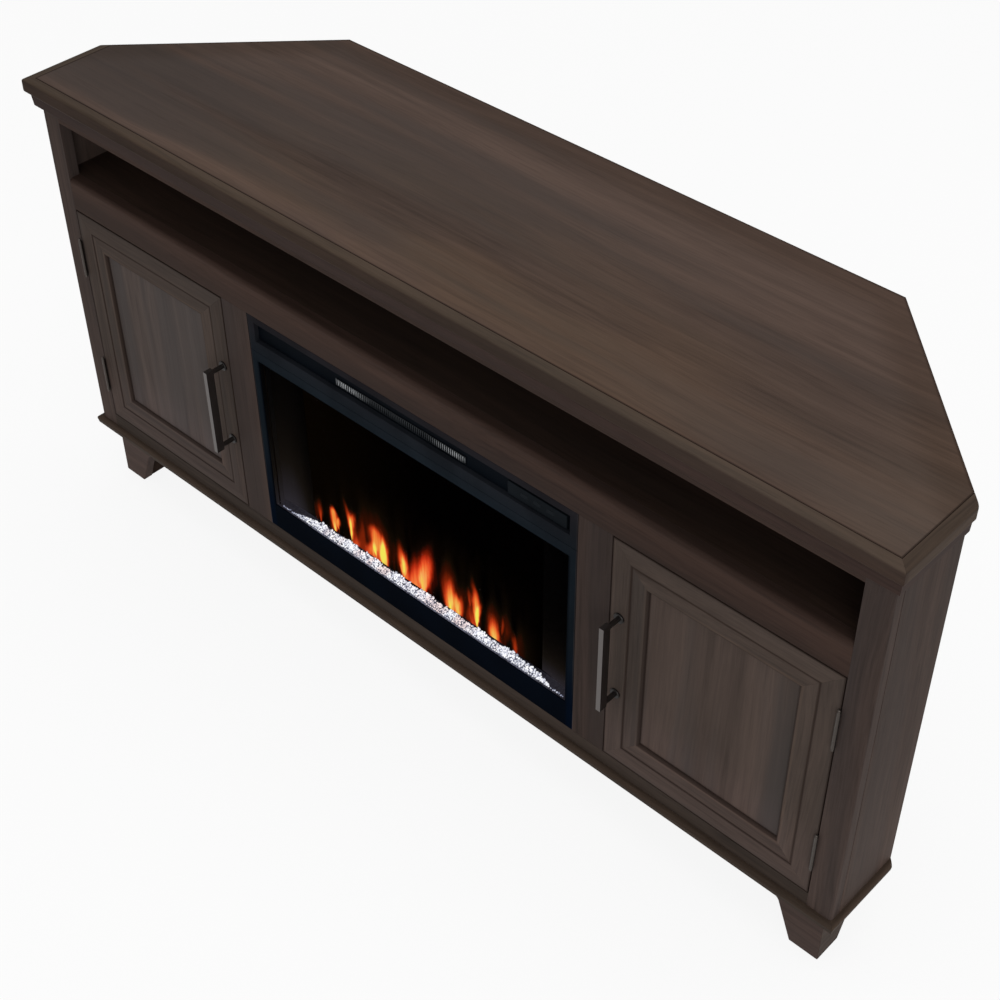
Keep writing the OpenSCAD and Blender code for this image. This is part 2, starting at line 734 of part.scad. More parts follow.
// A folded steel case, open in front, with a deck under the blower and slots in its back
module fire_case() color("#6d7176") at_face() difference() {
  box([-case_x, case_y, floor_z], [case_x, case_back, case_top]);
  box([-case_x + sheet_t, case_y - 1, floor_z + sheet_t],
    [case_x - sheet_t, case_back - sheet_t, deck_z]);
  box([-case_x + sheet_t, case_y - 1, deck_z + sheet_t],
    [case_x - sheet_t, case_back - sheet_t, case_top - sheet_t]);
  for (row = [-1:1], column = [-4:4]) translate([column * vent_pitch, 0, blower_z + row * vent_rise])
    box([-vent_w / 2, case_back - 2 * sheet_t, -vent_h / 2], [vent_w / 2, case_back + 1, vent_h / 2]);
  rod_y(case_back - 5, case_back + 1, -case_x + inlet_in, floor_z + inlet_up, 6);
}

// Four brackets between the case and the partitions
module case_brackets() color(steel) at_face() both_sides()
  for (z = [floor_z + bracket_end, deck_z - bracket_end])
    translate([0, case_y + bracket_in, z - bracket_w / 2]) {
    box([case_x, 0, 0], [case_x + bracket_t, bracket_w, bracket_w]);
    box([part_in - bracket_t, 0, 0], [part_in, bracket_w, bracket_w]);
    box([case_x + bracket_t / 2, 0, 0], [part_in - bracket_t / 2, bracket_t, bracket_w]);
  }

// Bushing for the mains lead
module cord_inlet() color("#202020") at_face() translate([-case_x + inlet_in, case_back, floor_z + inlet_up])
  rotate([-90, 0, 0]) rotate_extrude() polygon([[3.6, -sheet_t - 2], [7.5, -sheet_t - 2], [7.5, -sheet_t],
    [5.9, -sheet_t], [5.9, 0], [9, 0], [8, 5], [6, 12], [3.6, 12]]);

// ---- electric fire: flame effect ----

module flame_screen() color([0.12, 0.07, 0.05, 0.8]) at_face()
  box([-case_x + sheet_t + clearance, screen_y, floor_z + sheet_t],
    [case_x - sheet_t - clearance, screen_y + screen_t, deck_z - clearance]);

// Thin side plates that lean from the case's walls to the screen
module side_reflectors() color("#8c929c") at_face() both_sides()
  translate([0, 0, tray_z + 8]) linear_extrude(deck_z - tray_z - 8 - clearance) polygon([
    [case_x - sheet_t - clearance, screen_y - 6.5], [case_x - sheet_t - clearance, screen_y - 5.5],
    [window_x - 68, screen_y - clearance], [window_x - 68, screen_y - clearance - 1]]);

// A shallow trough in front of the screen
module ember_tray() color("#c9ccd0") at_face()
  strip_x(-case_x + sheet_t + clearance, case_x - sheet_t - clearance) polygon([
    [tray_y0, tray_z + 4], [tray_y0, tray_z], [tray_y1, tray_z], [tray_y1, tray_z + 4],
    [tray_y1 - 1, tray_z + 4], [tray_y1 - 1, tray_z + tray_t],
    [tray_y0 + 1, tray_z + tray_t], [tray_y0 + 1, tray_z + 4]]);

// One crystal: a five-sided lump with a flat base, a waist and a point
module crystal(r, h, turn) {
  ring = [for (k = [0:4]) turn + 72 * k];
  base = [for (a = ring) [0.62 * r * cos(a), 0.62 * r * sin(a), 0]];
  waist = [for (a = ring) [r * cos(a + 20), r * sin(a + 20), 0.45 * h]];
  tip = [0.3 * r * cos(turn), 0.3 * r * sin(turn), h];
  polyhedron(points = concat(base, waist, [tip]), faces = concat(
    [[0, 1, 2], [0, 2, 3], [0, 3, 4]],
    [for (k = [0:4]) [k, k + 5, (k + 1) % 5]],
    [for (k = [0:4]) [(k + 1) % 5, k + 5, (k + 1) % 5 + 5]],
    [for (k = [0:4]) [(k + 1) % 5 + 5, k + 5, 10]]));
}

// Rows of crystals, no two alike, the back row shorter because of the reflectors
module ember_crystals() color("#eef2fa") at_face() {
  seat_z = tray_z + tray_t + 0.15;
  row_y0 = tray_y0 + 1;
  row_d = (tray_y1 - 1 - row_y0) / crystal_rows;
  pitch = row_d + 1.3;
  for (row = [0:crystal_rows - 1]) {
    half_l = row < crystal_rows - 1 ? window_x - 6 : window_x - 78;
    count = floor(2 * half_l / pitch);
    for (i = [0:count - 1]) {
      spread = abs(sin(i * 77 + row * 41));
      lift = abs(sin(i * 131 + row * 67));
      translate([(i + 0.5) * 2 * half_l / count - half_l, row_y0 + row_d * (row + 0.5), seat_z])
        crystal(row_d * (0.38 + 0.09 * spread), 8 + 6 * lift, i * 53 + row * 29);
    }
  }
}

// A strip of lamps: a board with a row of small square lamps on it
module lamp_strip(half_l, y0, z0) {
  lamps = 24;
  box([-half_l, y0, z0], [half_l, y0 + 8, z0 + 1.6]);
  for (i = [0:lamps - 1]) translate([(i + 0.5) * 2 * half_l / lamps - half_l, y0 + 4, z0])
    box([-1.75, -1.75, 1], [1.75, 1.75, 2.8]);
}

// One strip under the ember bed and one behind the flame screen
module light_strips() color("#e8e4d0") at_face() {
  lamp_strip(case_x - 22, (tray_y0 + tray_y1) / 2 - 4, tray_z - 3.1);
  lamp_strip(case_x - 40, screen_y + screen_t + 4, floor_z + sheet_t + 0.2);
}

// A spindle with bright blades in a slow spiral, which throws moving light on the screen
module flame_rotor() color(steel) at_face() {
  stations = 16;
  span = 2 * (rotor_end - 24);
  rod_x(-rotor_end - 5, rotor_end + 5, rotor_y, rotor_z, shaft_r);
  for (i = [0:stations - 1]) translate([(i + 0.5) * span / stations - span / 2, rotor_y, rotor_z])
    for (j = [0:2]) rotate([120 * j + 35 * i, 0, 0]) translate([0, 0, shaft_r - 0.7])
      rotate([0, 0, 18]) box([-9, -0.4, 0], [9, 0.4, rotor_r - shaft_r]);
}

// Upright plates that carry the rotor's ends
module rotor_brackets() color("#6d7176") at_face() both_sides() difference() {
  box([rotor_end, rotor_y - 14, floor_z + sheet_t], [rotor_end + 2, rotor_y + 14, rotor_z + 10]);
  rod_x(rotor_end - 1, rotor_end + 3, rotor_y, rotor_z, shaft_r + pin_fit);
}

// A flat geared motor on the right-hand plate
module rotor_motor() color("#9a9a98") at_face() difference() {
  union() {
    rod_x(rotor_end + 2, rotor_end + 19, rotor_y, rotor_z, 20);
    box([rotor_end + 2, rotor_y - 5, rotor_z - 26], [rotor_end + 4, rotor_y + 5, rotor_z - 10]);
  }
  rod_x(rotor_end + 1, rotor_end + 7, rotor_y, rotor_z, shaft_r + pin_fit);
}

// ---- electric fire: blower ----

duct_y = outlet_y + 0.5 - blower_y;
duct_h = grille_h / 2 + 3.5;
duct_dz = grille_z - blower_z;
scroll_r = wheel_r + 5;

// Outline of the blower's case, with its outlet towards the front
module blower_outline(r, half_h, front) {
  circle(r = r);
  translate([front, duct_dz - half_h]) square([-front, 2 * half_h]);
}

module blower_section() difference() {
  blower_outline(scroll_r + 1, duct_h + 1, duct_y);
  blower_outline(scroll_r, duct_h, duct_y - 1);
  translate([8, -scroll_r - 2]) square([scroll_r, scroll_r + 6]);
}

module blower_end() difference() {
  blower_outline(scroll_r + 1, duct_h + 1, duct_y);
  circle(r = wheel_shaft_r + pin_fit);
}

module blower_case() color("#6d7176") at_face() translate([0, blower_y, blower_z]) {
  strip_x(blower_x0, blower_x1) blower_section();
  strip_x(blower_x0 - 1, blower_x0) blower_end();
  strip_x(blower_x1, blower_x1 + 1) blower_end();
  for (x = [blower_x0 - 1, blower_x1 - 9]) box([x, -8, deck_z + sheet_t - blower_z], [x + 10, 4, -scroll_r]);
}

// One curved blade in section, from the inner to the outer radius
module wheel_blade() {
  inner_r = wheel_r - 6;
  steps = 5;
  face = [for (i = [0:steps]) let (t = i / steps) [inner_r + 5.6 * t, 2.6 * t * t]];
  polygon(concat(face, [for (i = [steps:-1:0]) face[i] + [0, 0.7]]));
}

module blower_wheel() color("#9a9a98") at_face() translate([0, blower_y, blower_z]) {
  strip_x(blower_x0 + 3, blower_x1 - 3) for (i = [0:wheel_blades - 1])
    rotate(360 * i / wheel_blades) wheel_blade();
  for (x = [blower_x0 + 2, grille_x - 0.5, blower_x1 - 3]) strip_x(x, x + 1) circle(r = wheel_r);
  rod_x(blower_x0 - 4, blower_x1 + 20, 0, 0, wheel_shaft_r);
}

module blower_motor() color("#3d3f42") at_face() translate([0, blower_y, blower_z]) difference() {
  rod_x(blower_x1 + 1, blower_x1 + 36, 0, 0, scroll_r - 4);
  rod_x(blower_x1, blower_x1 + 22, 0, 0, wheel_shaft_r + pin_fit);
}

// A finned heater that fills the blower's outlet
module heating_element() color("#a8a6a0") at_face() translate([0, outlet_y + 14, grille_z]) {
  half_h = duct_h - clearance;
  fins = 36;
  x0 = blower_x0 + 0.5;
  length = blower_x1 - blower_x0 - 1;
  for (end = [-1, 1]) translate([0, 0, end * (half_h - 1)]) box([x0, 0, -1], [x0 + length, 14, 1]);
  for (i = [0:fins]) box([x0 + (length - 0.8) * i / fins, 1, -half_h + 1],
    [x0 + (length - 0.8) * i / fins + 0.8, 13, half_h - 1]);
}

top_panel();
top_edging();
crown_moulding();
corner_posts();
top_rail();
shelf_rail();
fire_stiles();
bottom_rail();
media_shelf();
bottom_panel();
side_panels();
angled_backs();
centre_back();
partitions();
base_moulding();
front_plinth();
side_plinths();
corner_blocks();
rear_feet();
cupboard_shelves();
shelf_pins();
door_catches();
jamb_leaves();
hinge_pins();
left_door_frame();
right_door_frame();
left_door_panel();
right_door_panel();
left_door_leaves();
right_door_leaves();
left_handle();
right_handle();
left_handle_fixings();
right_handle_fixings();
left_strike_plate();
right_strike_plate();
fire_bezel();
fire_glass();
outlet_panel();
outlet_grille();
control_panel();
control_board();
power_button();
flame_button();
heat_button();
fire_case();
case_brackets();
cord_inlet();
flame_screen();
side_reflectors();
ember_tray();
ember_crystals();
light_strips();
flame_rotor();
rotor_brackets();
rotor_motor();
blower_case();
blower_wheel();
blower_motor();
heating_element();
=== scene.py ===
# %% [markdown]
# # A corner fireplace cabinet
# The real object is a dark stained wooden cabinet that stands in a corner, with an electric fire
# between two cupboards. Its pieces are already modelled at their real size, so this lesson loads
# them as a frame, gives each one its finish, and makes the one piece whose look needs more shape,
# the heap of crystals in the fire.

# %% Load the frame
import math
import random

import bmesh
import bpy
from mathutils import Euler, Matrix, Quaternion, Vector


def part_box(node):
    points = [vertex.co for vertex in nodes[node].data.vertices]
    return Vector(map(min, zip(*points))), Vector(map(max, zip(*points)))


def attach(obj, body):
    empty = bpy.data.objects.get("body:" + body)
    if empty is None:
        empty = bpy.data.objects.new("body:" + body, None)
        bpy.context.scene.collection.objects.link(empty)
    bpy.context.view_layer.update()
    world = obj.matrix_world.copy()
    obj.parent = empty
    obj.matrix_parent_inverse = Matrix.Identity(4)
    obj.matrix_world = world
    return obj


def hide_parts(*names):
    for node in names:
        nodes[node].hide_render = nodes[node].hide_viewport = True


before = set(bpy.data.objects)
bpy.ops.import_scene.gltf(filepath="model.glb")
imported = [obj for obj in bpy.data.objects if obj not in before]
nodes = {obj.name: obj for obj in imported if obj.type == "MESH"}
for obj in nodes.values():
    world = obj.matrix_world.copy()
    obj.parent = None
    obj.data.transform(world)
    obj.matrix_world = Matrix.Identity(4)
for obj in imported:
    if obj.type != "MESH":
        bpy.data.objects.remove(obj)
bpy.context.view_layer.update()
mm = 0.001
scene = bpy.context.scene

# %% [markdown]
# ## The camera
# The photograph looks down on the right-hand front corner through a long lens. A camera that is
# placed by eye never quite fits, so this one's place and direction were solved from the cabinet's
# straight edges. They are written here in metres. The small shift is what the framing needs.

# %% Place the camera
photo_side_px = 1000
focal_length_px = 1758.2
optical_centre_px = (499.1, 489.2)
camera_place = Vector((1.4522, -1.5194, 2.1719))
camera_direction = Vector((-0.5152, 0.5428, -0.6633))
camera_roll = math.radians(-0.55)

camera_data = bpy.data.cameras.new("camera")
camera_data.sensor_width = 36.0
camera_data.lens = camera_data.sensor_width * focal_length_px / photo_side_px
camera_data.shift_x = 0.5 - optical_centre_px[0] / photo_side_px
camera_data.shift_y = optical_centre_px[1] / photo_side_px - 0.5
camera = bpy.data.objects.new("camera", camera_data)
camera.location = camera_place
level = camera_direction.to_track_quat("-Z", "Y")
camera.rotation_euler = (level @ Quaternion((0, 0, 1), camera_roll)).to_euler()
scene.collection.objects.link(camera)
scene.camera = camera
scene.view_settings.view_transform = "Standard"
print("lens", round(camera_data.lens, 1), "mm")

# %% [markdown]
# ## Shader sums
# A finish is easier to read as a sum than as a web of nodes. `Value` wraps a socket, so that
# `1 - mask` or `tone * 0.5` adds the Math nodes by itself. Every other node comes from
# `Tree.node`, which takes the node's type, its settings and what goes into its sockets.

# %% A socket that can be used in sums


class Value:
    """A shader socket that takes part in Python sums."""

    def __init__(self, maker, socket):
        self.maker = maker
        self.socket = socket

    def other(self, name):
        """Another output of the same node."""
        return Value(self.maker, self.socket.node.outputs[name])

    def math(self, operation, *others):
        return self.maker.math(operation, self, *others)

    def __add__(self, other):
        return self.math("ADD", other)

    def __radd__(self, other):
        return self.math("ADD", other)

    def __sub__(self, other):
        return self.math("SUBTRACT", other)

    def __rsub__(self, other):
        return self.maker.math("SUBTRACT", other, self)

    def __mul__(self, other):
        return self.math("MULTIPLY", other)

    def __rmul__(self, other):
        return self.math("MULTIPLY", other)

    def __truediv__(self, other):
        return self.math("DIVIDE", other)

    def __pow__(self, other):
        return self.math("POWER", other)

    def size(self):
        return self.math("ABSOLUTE")

    def ramp(self, low, high):
        """0 below low and 1 above high, with a smooth rise between them. Low may be above high."""
        settings = {"interpolation_type": "SMOOTHSTEP"}
        inputs = {0: self, 1: min(low, high), 2: max(low, high)}
        if low > high:
            inputs[3] = 1.0
            inputs[4] = 0.0
        return self.maker.node("MapRange", settings, inputs)

    def line(self, middle, half_width):
        """1 at the middle and 0 past the half width, with soft sides."""
        return (self - middle).size().ramp(half_width, half_width * 0.3)


print("sockets take part in sums")

# %% A node tree and the one method that adds its nodes


class Tree:
    """The node tree of a material or of the sky."""

    def __init__(self, owner):
        owner.use_nodes = True
        self.tree = owner.node_tree

    def feed(self, socket, value):
        if isinstance(value, Value):
            self.tree.links.new(value.socket, socket)
        else:
            socket.default_value = value

    def node(self, kind, settings=None, inputs=None, out=0):
        """Adds one node: its settings first, and then the values or links of its sockets."""
        made = self.tree.nodes.new("ShaderNode" + kind)
        settings = dict(settings or {})
        stops = settings.pop("stops", None)
        for key, value in settings.items():
            setattr(made, key, value)
        if stops:
            self.set_stops(made.color_ramp, stops)
        for key, value in (inputs or {}).items():
            self.feed(made.inputs[key], value)
        return Value(self, made.outputs[out])

    def set_stops(self, ramp, stops):
        while len(ramp.elements) < len(stops):
            ramp.elements.new(0.5)
        for element, (position, colour) in zip(ramp.elements, stops):
            element.position = position
            element.color = colour

    def math(self, operation, *values):
        return self.node("Math", {"operation": operation}, dict(enumerate(values)))

    def vector(self, operation, first, second):
        return self.node("VectorMath", {"operation": operation}, {0: first, 1: second})

    def mix(self, share, first, second):
        """A colour between two others."""
        settings = {"data_type": "RGBA"}
        return self.node("Mix", settings, {0: share, 6: first, 7: second}, out=2)

    def tinted(self, share, colour, gains):
        """A colour whose red, green and blue are multiplied by the gains, where share is 1."""
        return self.mix(share, colour, self.vector("MULTIPLY", colour, gains))

    def colours(self, share, *stops):
        """A colour from a ramp, with each stop as (position, colour)."""
        return self.node("ValToRGB", {"stops": stops}, {"Fac": share})

    def point(self):
        """The object's own coordinates, in metres."""
        return self.node("TexCoord", out=3)

    def parts(self, vector):
        """The X, Y and Z of a vector."""
        x = self.node("SeparateXYZ", inputs={0: vector})
        return x, x.other("Y"), x.other("Z")

    def coordinate(self, axis):
        """The X, Y or Z of the object's own coordinates."""
        return self.node("SeparateXYZ", inputs={0: self.point()}).other(axis)

    def join(self, x, y, z):
        return self.node("CombineXYZ", inputs={0: x, 1: y, 2: z})

    def noise(self, point, scale, detail=2.0, roughness=0.5):
        """Smooth noise from 0 to 1. Scale is the number of lumps per metre along X, Y and Z."""
        stretched = self.vector("MULTIPLY", point, scale)
        inputs = {"Vector": stretched, "Scale": 1.0, "Detail": detail, "Roughness": roughness}
        return self.node("TexNoise", inputs=inputs)


print("trees add their own nodes")

# %% A finish


def srgb(red, green, blue):
    """A colour as it is read off a screen, 0 to 255, in the linear form that shaders use."""
    shares = [c / 255 for c in (red, green, blue)]
    linear = [c / 12.92 if c <= 0.04045 else ((c + 0.055) / 1.055) ** 2.4 for c in shares]
    return (*linear, 1.0)


class Finish(Tree):
    """A material with one Principled shader. The sockets that stay even are given as numbers."""

    def __init__(self, name, **even):
        self.material = bpy.data.materials.new(name)
        super().__init__(self.material)
        self.shader = self.tree.nodes["Principled BSDF"]
        for key, value in even.items():
            self.shader.inputs[key.replace("_", " ")].default_value = value

    def set(self, name, value):
        self.feed(self.shader.inputs[name], value)

    def bump(self, height, strength, distance):
        inputs = {"Strength": strength, "Distance": distance, "Height": height}
        self.set("Normal", self.node("Bump", inputs=inputs))


def dress(finish, *names):
    """Gives a finish to CAD nodes."""
    for name in names:
        nodes[name].data.materials.clear()
        nodes[name].data.materials.append(finish.material)


print("a middle grey on the screen is", round(srgb(128, 128, 128)[0], 3), "in a shader")

# %% [markdown]
# ## Plain studio light
# The room is a pale floor under an even white sky. A broad lamp above makes the top a little
# brighter than the upright faces, and a second one in front on the right shapes the front. The
# camera, mirrors and glass see floor and sky as white, while wood is lit at a plain level. More
# light would make the background white too, but it would bleach the wood. The floor is partly a
# real grey surface even for the camera, so it keeps the cabinet's shadow.

# %% Sky
sky_light = 0.68
white_light = (1.0, 1.0, 1.0, 1.0)


def seen_ray(tree):
    """1 for a ray from the camera, or one that a mirror or glass sends on."""
    camera_ray = tree.node("LightPath", out="Is Camera Ray")
    mirror_ray = camera_ray.other("Is Glossy Ray")
    glass_ray = camera_ray.other("Is Transmission Ray")
    return camera_ray.math("MAXIMUM", mirror_ray).math("MAXIMUM", glass_ray)


world = bpy.data.worlds.new("studio")
scene.world = world
sky = Tree(world)
background = sky.tree.nodes["Background"]
sky.feed(background.inputs["Color"], white_light)
sky.feed(background.inputs["Strength"], seen_ray(sky) * (1 - sky_light) + sky_light)
print("sky at", sky_light)

# %% Floor
floor_colour = (0.82, 0.82, 0.82, 1.0)
shadow_share = 0.12
floor_half = 30.0

floor_finish = Finish("studio_floor", Specular_IOR_Level=0.0, Roughness=0.9, Base_Color=floor_colour)
white_share = seen_ray(floor_finish) * (1 - shadow_share)
white = floor_finish.node("Emission", inputs={"Color": white_light, "Strength": 1.0})
grey = Value(floor_finish, floor_finish.shader.outputs[0])
shown = floor_finish.node("MixShader", inputs={0: white_share, 1: grey, 2: white})
floor_finish.feed(floor_finish.tree.nodes["Material Output"].inputs["Surface"], shown)

floor_shape = bmesh.new()
bmesh.ops.create_grid(floor_shape, x_segments=1, y_segments=1, size=floor_half)
floor_mesh = bpy.data.meshes.new("studio_floor")
floor_shape.to_mesh(floor_mesh)
floor_shape.free()
floor = bpy.data.objects.new("studio_floor", floor_mesh)
floor.data.materials.append(floor_finish.material)
scene.collection.objects.link(floor)
print("a floor", 2 * floor_half, "m wide")

# %% Lamps


def add_lamp(name, size, watts, place, target):
    """A round soft lamp that faces its target."""
    data = bpy.data.lights.new(name, "AREA")
    data.shape = "DISK"
    data.size = size
    data.energy = watts
    lamp = bpy.data.objects.new(name, data)
    lamp.location = place
    lamp.rotation_euler = (Vector(target) - Vector(place)).to_track_quat("-Z", "Y").to_euler()
    scene.collection.objects.link(lamp)
    print(name, watts, "watts")


add_lamp("top_lamp", size=3.0, watts=36.0, place=(0.4, 0.0, 3.6), target=(0.4, 0.0, 0.8))
add_lamp("front_lamp", size=3.5, watts=120.0, place=(4.6, -4.0, 2.4), target=(0.1, -0.2, 0.45))

# %% [markdown]
# ## Stained wood
# The boards are stained a dark brown that lets the grain through as soft streaks: wide bands where
# one glued board meets the next, streaks a few millimetres wide, threads inside them, and pores
# like hairlines. A picture of wood could be laid on the boards, but it would show its repeats.
# Stretched noise has none and is as fine as the real grain. The pattern is made in a space whose X
# always runs along the grain, so one recipe serves rails, posts and doors. Each piece takes the
# stain a little differently, so the recipe starts from the middle colour of the piece. Where a
# piece is paler or darker in one place, a touch, which is a small function of its own, alters the
# finished colour. Some touches paint in light and shade.

# %% The wood recipe


def along_grain(finish, axis):
    """The object's own coordinates, turned so that X runs along the grain."""
    x, y, z = finish.parts(finish.point())
    order = {"X": (x, y, z), "Y": (y, x, z), "Z": (z, x, y)}[axis]
    return finish.join(*order)


def toned(stain, red=1.0, green=1.0, blue=1.0):
    """The stain's middle colour, 0 to 255, with each channel scaled."""
    return srgb(stain[0] * red, stain[1] * green, stain[2] * blue)


def stained_wood(name, point_of, stain, seed, touch=None, band=7.0, fine=1.0, cool=0.45):
    """Wood with its grain along the X of the point that point_of gives. Band is the number of
    boards per metre of width, fine is how much the threads show, and cool is how grey the cool
    patches are."""
    finish = Finish(name, Specular_IOR_Level=0.02)
    place = finish.vector("ADD", point_of(finish), (seed * 1.37, seed * 0.61, seed * 0.89))
    waver = finish.noise(place, (1.6, 5.0, 5.0), 1.0) - 0.5
    x, y, z = finish.parts(place)
    place = finish.join(x, y + waver * 0.05, z + waver * 0.03)
    boards = finish.noise(place, (0.5, band, band), 1.0)
    streaks = finish.noise(place, (2.4, 62.0, 62.0), 3.0, 0.6)
    threads = finish.noise(place, (9.0, 210.0, 210.0), 2.0, 0.6)
    hairs = finish.noise(place, (12.0, 620.0, 620.0), 2.0, 0.6)
    lines = ((threads - 0.5) * 0.8 + (hairs - 0.5) * 0.3) * fine
    tone = boards * 0.9 + streaks * 0.8 + lines - 0.35
    darkest = toned(stain, 0.74, 0.74, 0.74)
    palest = toned(stain, 1.26, 1.26, 1.26)
    shade = finish.colours(tone, (0.1, darkest), (0.9, palest))
    chill = finish.noise(place, (0.8, 15.0, 15.0), 2.0).ramp(0.42, 0.66)
    shade = finish.mix(chill * cool, shade, toned(stain, 0.88, 0.96, 1.02))
    dashes = threads.ramp(0.56, 0.7) * (0.35 * fine)
    pores = finish.noise(place, (26.0, 900.0, 900.0), 1.0).ramp(0.66, 0.8) * (0.3 * fine)
    shade = finish.mix(dashes.math("MAXIMUM", pores), shade, toned(stain, 0.55, 0.55, 0.55))
    if touch:
        shade = touch(finish, shade)
    finish.set("Base Color", shade)
    finish.set("Roughness", 0.46 + hairs * 0.16)
    finish.bump(hairs * 0.6 - pores, 0.35, 0.25 * mm)
    return finish


print("wood recipe ready")

# %% [markdown]
# ### Straight boards
# Each straight piece only needs to know which way its grain runs: along the length of a rail,
# upwards in a post or a panel. One finish for them all would look sawn from one plank, so each
# group has its own seed, which moves it to another part of the noise. The boards inside the cabinet
# share one darker colour.

# %% Straight boards


def straight(axis):
    return lambda finish: along_grain(finish, axis)


inner_tone = (42, 32, 27)
STRAIGHT_BOARDS = [
    # grain, middle colour, nodes
    ("X", (54, 42, 37), ["top_rail"]),
    ("X", (54, 46, 41), ["bottom_rail"]),
    ("Y", (64, 54, 48), ["side_plinths"]),
    ("X", inner_tone, ["media_shelf", "bottom_panel", "cupboard_shelves", "corner_blocks"]),
    ("Z", inner_tone, ["angled_backs", "centre_back", "partitions", "rear_feet"]),
]
for number, (axis, stain, names) in enumerate(STRAIGHT_BOARDS):
    dress(stained_wood(names[0] + "_wood", straight(axis), stain, 5 + 3 * number), *names)
print(len(STRAIGHT_BOARDS), "finishes for straight boards")

# %% [markdown]
# ### Boards that change along their length
# The end panels and the posts are a little paler near the floor, where the light that the floor
# throws back is painted in, and the left end of the front apron is paler too. The stiles beside the
# fire are painted black on the edge that faces it, so that no bare wood shows through the glass. The
# rail under the shelf is darker along its top edge and has a painted highlight just below it. Each
# change could be painted on an image, but a touch that reads the point's own coordinates needs no
# image and no unwrapping.

# %% Posts, end panels, stiles, apron and the shelf's rail
# The dark glaze in joints and grooves, also used as painted shade on the top panel's rear edges.
glaze_and_shade = srgb(33, 23, 19)


def painted_floor_light(amount):
    """Painted light from the floor: the wood is paler near it, by a share of its own colour."""

    def touch(finish, shade):
        near_floor = finish.coordinate("Z").ramp(500 * mm, 150 * mm)
        return finish.tinted(near_floor, shade, (1 + amount, 1 + amount, 1 + amount))

    return touch


def rail_touch(finish, shade):
    """A painted highlight below the rail's top edge, and a darker top edge."""
    below_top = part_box("shelf_rail")[1].z - finish.coordinate("Z")
    # A painted highlight just below the top edge.
    shade = finish.tinted(below_top.line(19 * mm, 14 * mm), shade, (1.16, 1.14, 1.12))
    # The top edge itself is darker.
    return finish.mix(below_top.ramp(9 * mm, 0.0) * 0.35, shade, glaze_and_shade)


def plinth_touch(finish, shade):
    """A paler left end."""
    at_left = finish.coordinate("X").ramp(-560 * mm, -740 * mm)
    return finish.tinted(at_left, shade, (1.16, 1.16, 1.16))


def stile_edge(finish):
    """1 on the edges of the stiles that face the fire."""
    inner_x = min(abs(v.co.x) for v in nodes["fire_stiles"].data.vertices)
    return (finish.coordinate("X").size() - inner_x).ramp(0.9 * mm, 0.5 * mm)


def stile_touch(finish, shade):
    """A paler left stile, and black paint on the edges."""
    at_left = finish.coordinate("X").ramp(100 * mm, -100 * mm)
    shade = finish.tinted(at_left, shade, (1.2, 1.2, 1.2))
    return finish.mix(stile_edge(finish), shade, srgb(8, 10, 13))


side_wood = stained_wood("side_wood", straight("Z"), (61, 50, 45), 29, painted_floor_light(0.26))
post_wood = stained_wood("post_wood", straight("Z"), (60, 50, 46), 17, painted_floor_light(0.28))
rail_wood = stained_wood("rail_wood", straight("X"), (52, 40, 35), 5, rail_touch)
apron_wood = stained_wood("front_plinth_wood", straight("X"), (63, 52, 48), 11, plinth_touch)
stile_wood = stained_wood("stile_wood", straight("Z"), (54, 44, 40), 33, stile_touch)
dress(side_wood, "side_panels")
dress(post_wood, "corner_posts")
dress(rail_wood, "shelf_rail")
dress(apron_wood, "front_plinth")
dress(stile_wood, "fire_stiles")
print("posts, end panels, stiles, apron and rail finished")

# %% [markdown]
# ### The top
# The top panel is the piece that shows most. It is a warmer tan along the front, paler
# towards the right-hand end and darker along the back. A thin dark seam lies where the panel meets
# its edging, because glaze collects in the joint, and the panel's rear edges are darkened with
# painted shade, where their rounding faces away from the light.
# The seam has no depth to model, so it is only a darker colour. It follows the panel's outline,
# which is a rectangle with both rear corners cut off.

# %% The top panel
top_stain = (67, 55, 49)
panel_low, panel_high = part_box("top_panel")
cut_sum = max(abs(v.co.x) + v.co.y for v in nodes["top_panel"].data.vertices)


def top_touch(finish, shade):
    """The warm front, the paler right end, the darker back, the seam and painted shade on rear edges."""
    x = finish.coordinate("X")
    y = finish.coordinate("Y")
    behind_front = y - panel_low.y
    warm_zone = (x - 100 * mm).size().ramp(750 * mm, 150 * mm) * behind_front.ramp(300 * mm, 60 * mm)
    patches = finish.noise(finish.point(), (2.2, 9.0, 1.0), 2.0).ramp(0.34, 0.62)
    shade = finish.tinted(warm_zone * patches * 0.6, shade, (1.5, 1.36, 1.1))
    shade = finish.tinted(x.ramp(600 * mm, 800 * mm), shade, (1.22, 1.22, 1.16))
    from_front = behind_front.math("MINIMUM", panel_high.x - x.size())
    from_back = (panel_high.y - y).math("MINIMUM", (cut_sum - x.size() - y) / math.sqrt(2))
    shade = finish.tinted(from_back.ramp(70 * mm, 20 * mm), shade, (0.84, 0.8, 0.76))
    seam = from_front.ramp(2.6 * mm, 1.0 * mm) * 0.7
    # Painted shade on the rear edges, whose rounding faces away from the light.
    far_edge_shade = from_back.ramp(5 * mm, 1.5 * mm) * 0.5
    return finish.mix(seam.math("MAXIMUM", far_edge_shade), shade, glaze_and_shade)


top_wood = stained_wood("top_wood", straight("X"), top_stain, 3, top_touch, fine=0.7, cool=0.6)
dress(top_wood, "top_panel")
print("top panel", round(panel_high.x - panel_low.x, 3), "m wide")

# %% [markdown]
# ### Pieces with mitred corners
# A moulding that goes round the cabinet, and a door's frame, turn their grain at each mitre. Each
# piece is one mesh, and cutting it up for the sake of its grain would only add seams. So the finish
# works out on which side of the mitre a point lies, from its distances to the two edges.

# %% Grain that turns at a mitre
past_mitre_offset = (4.0, 2.0, 1.0)


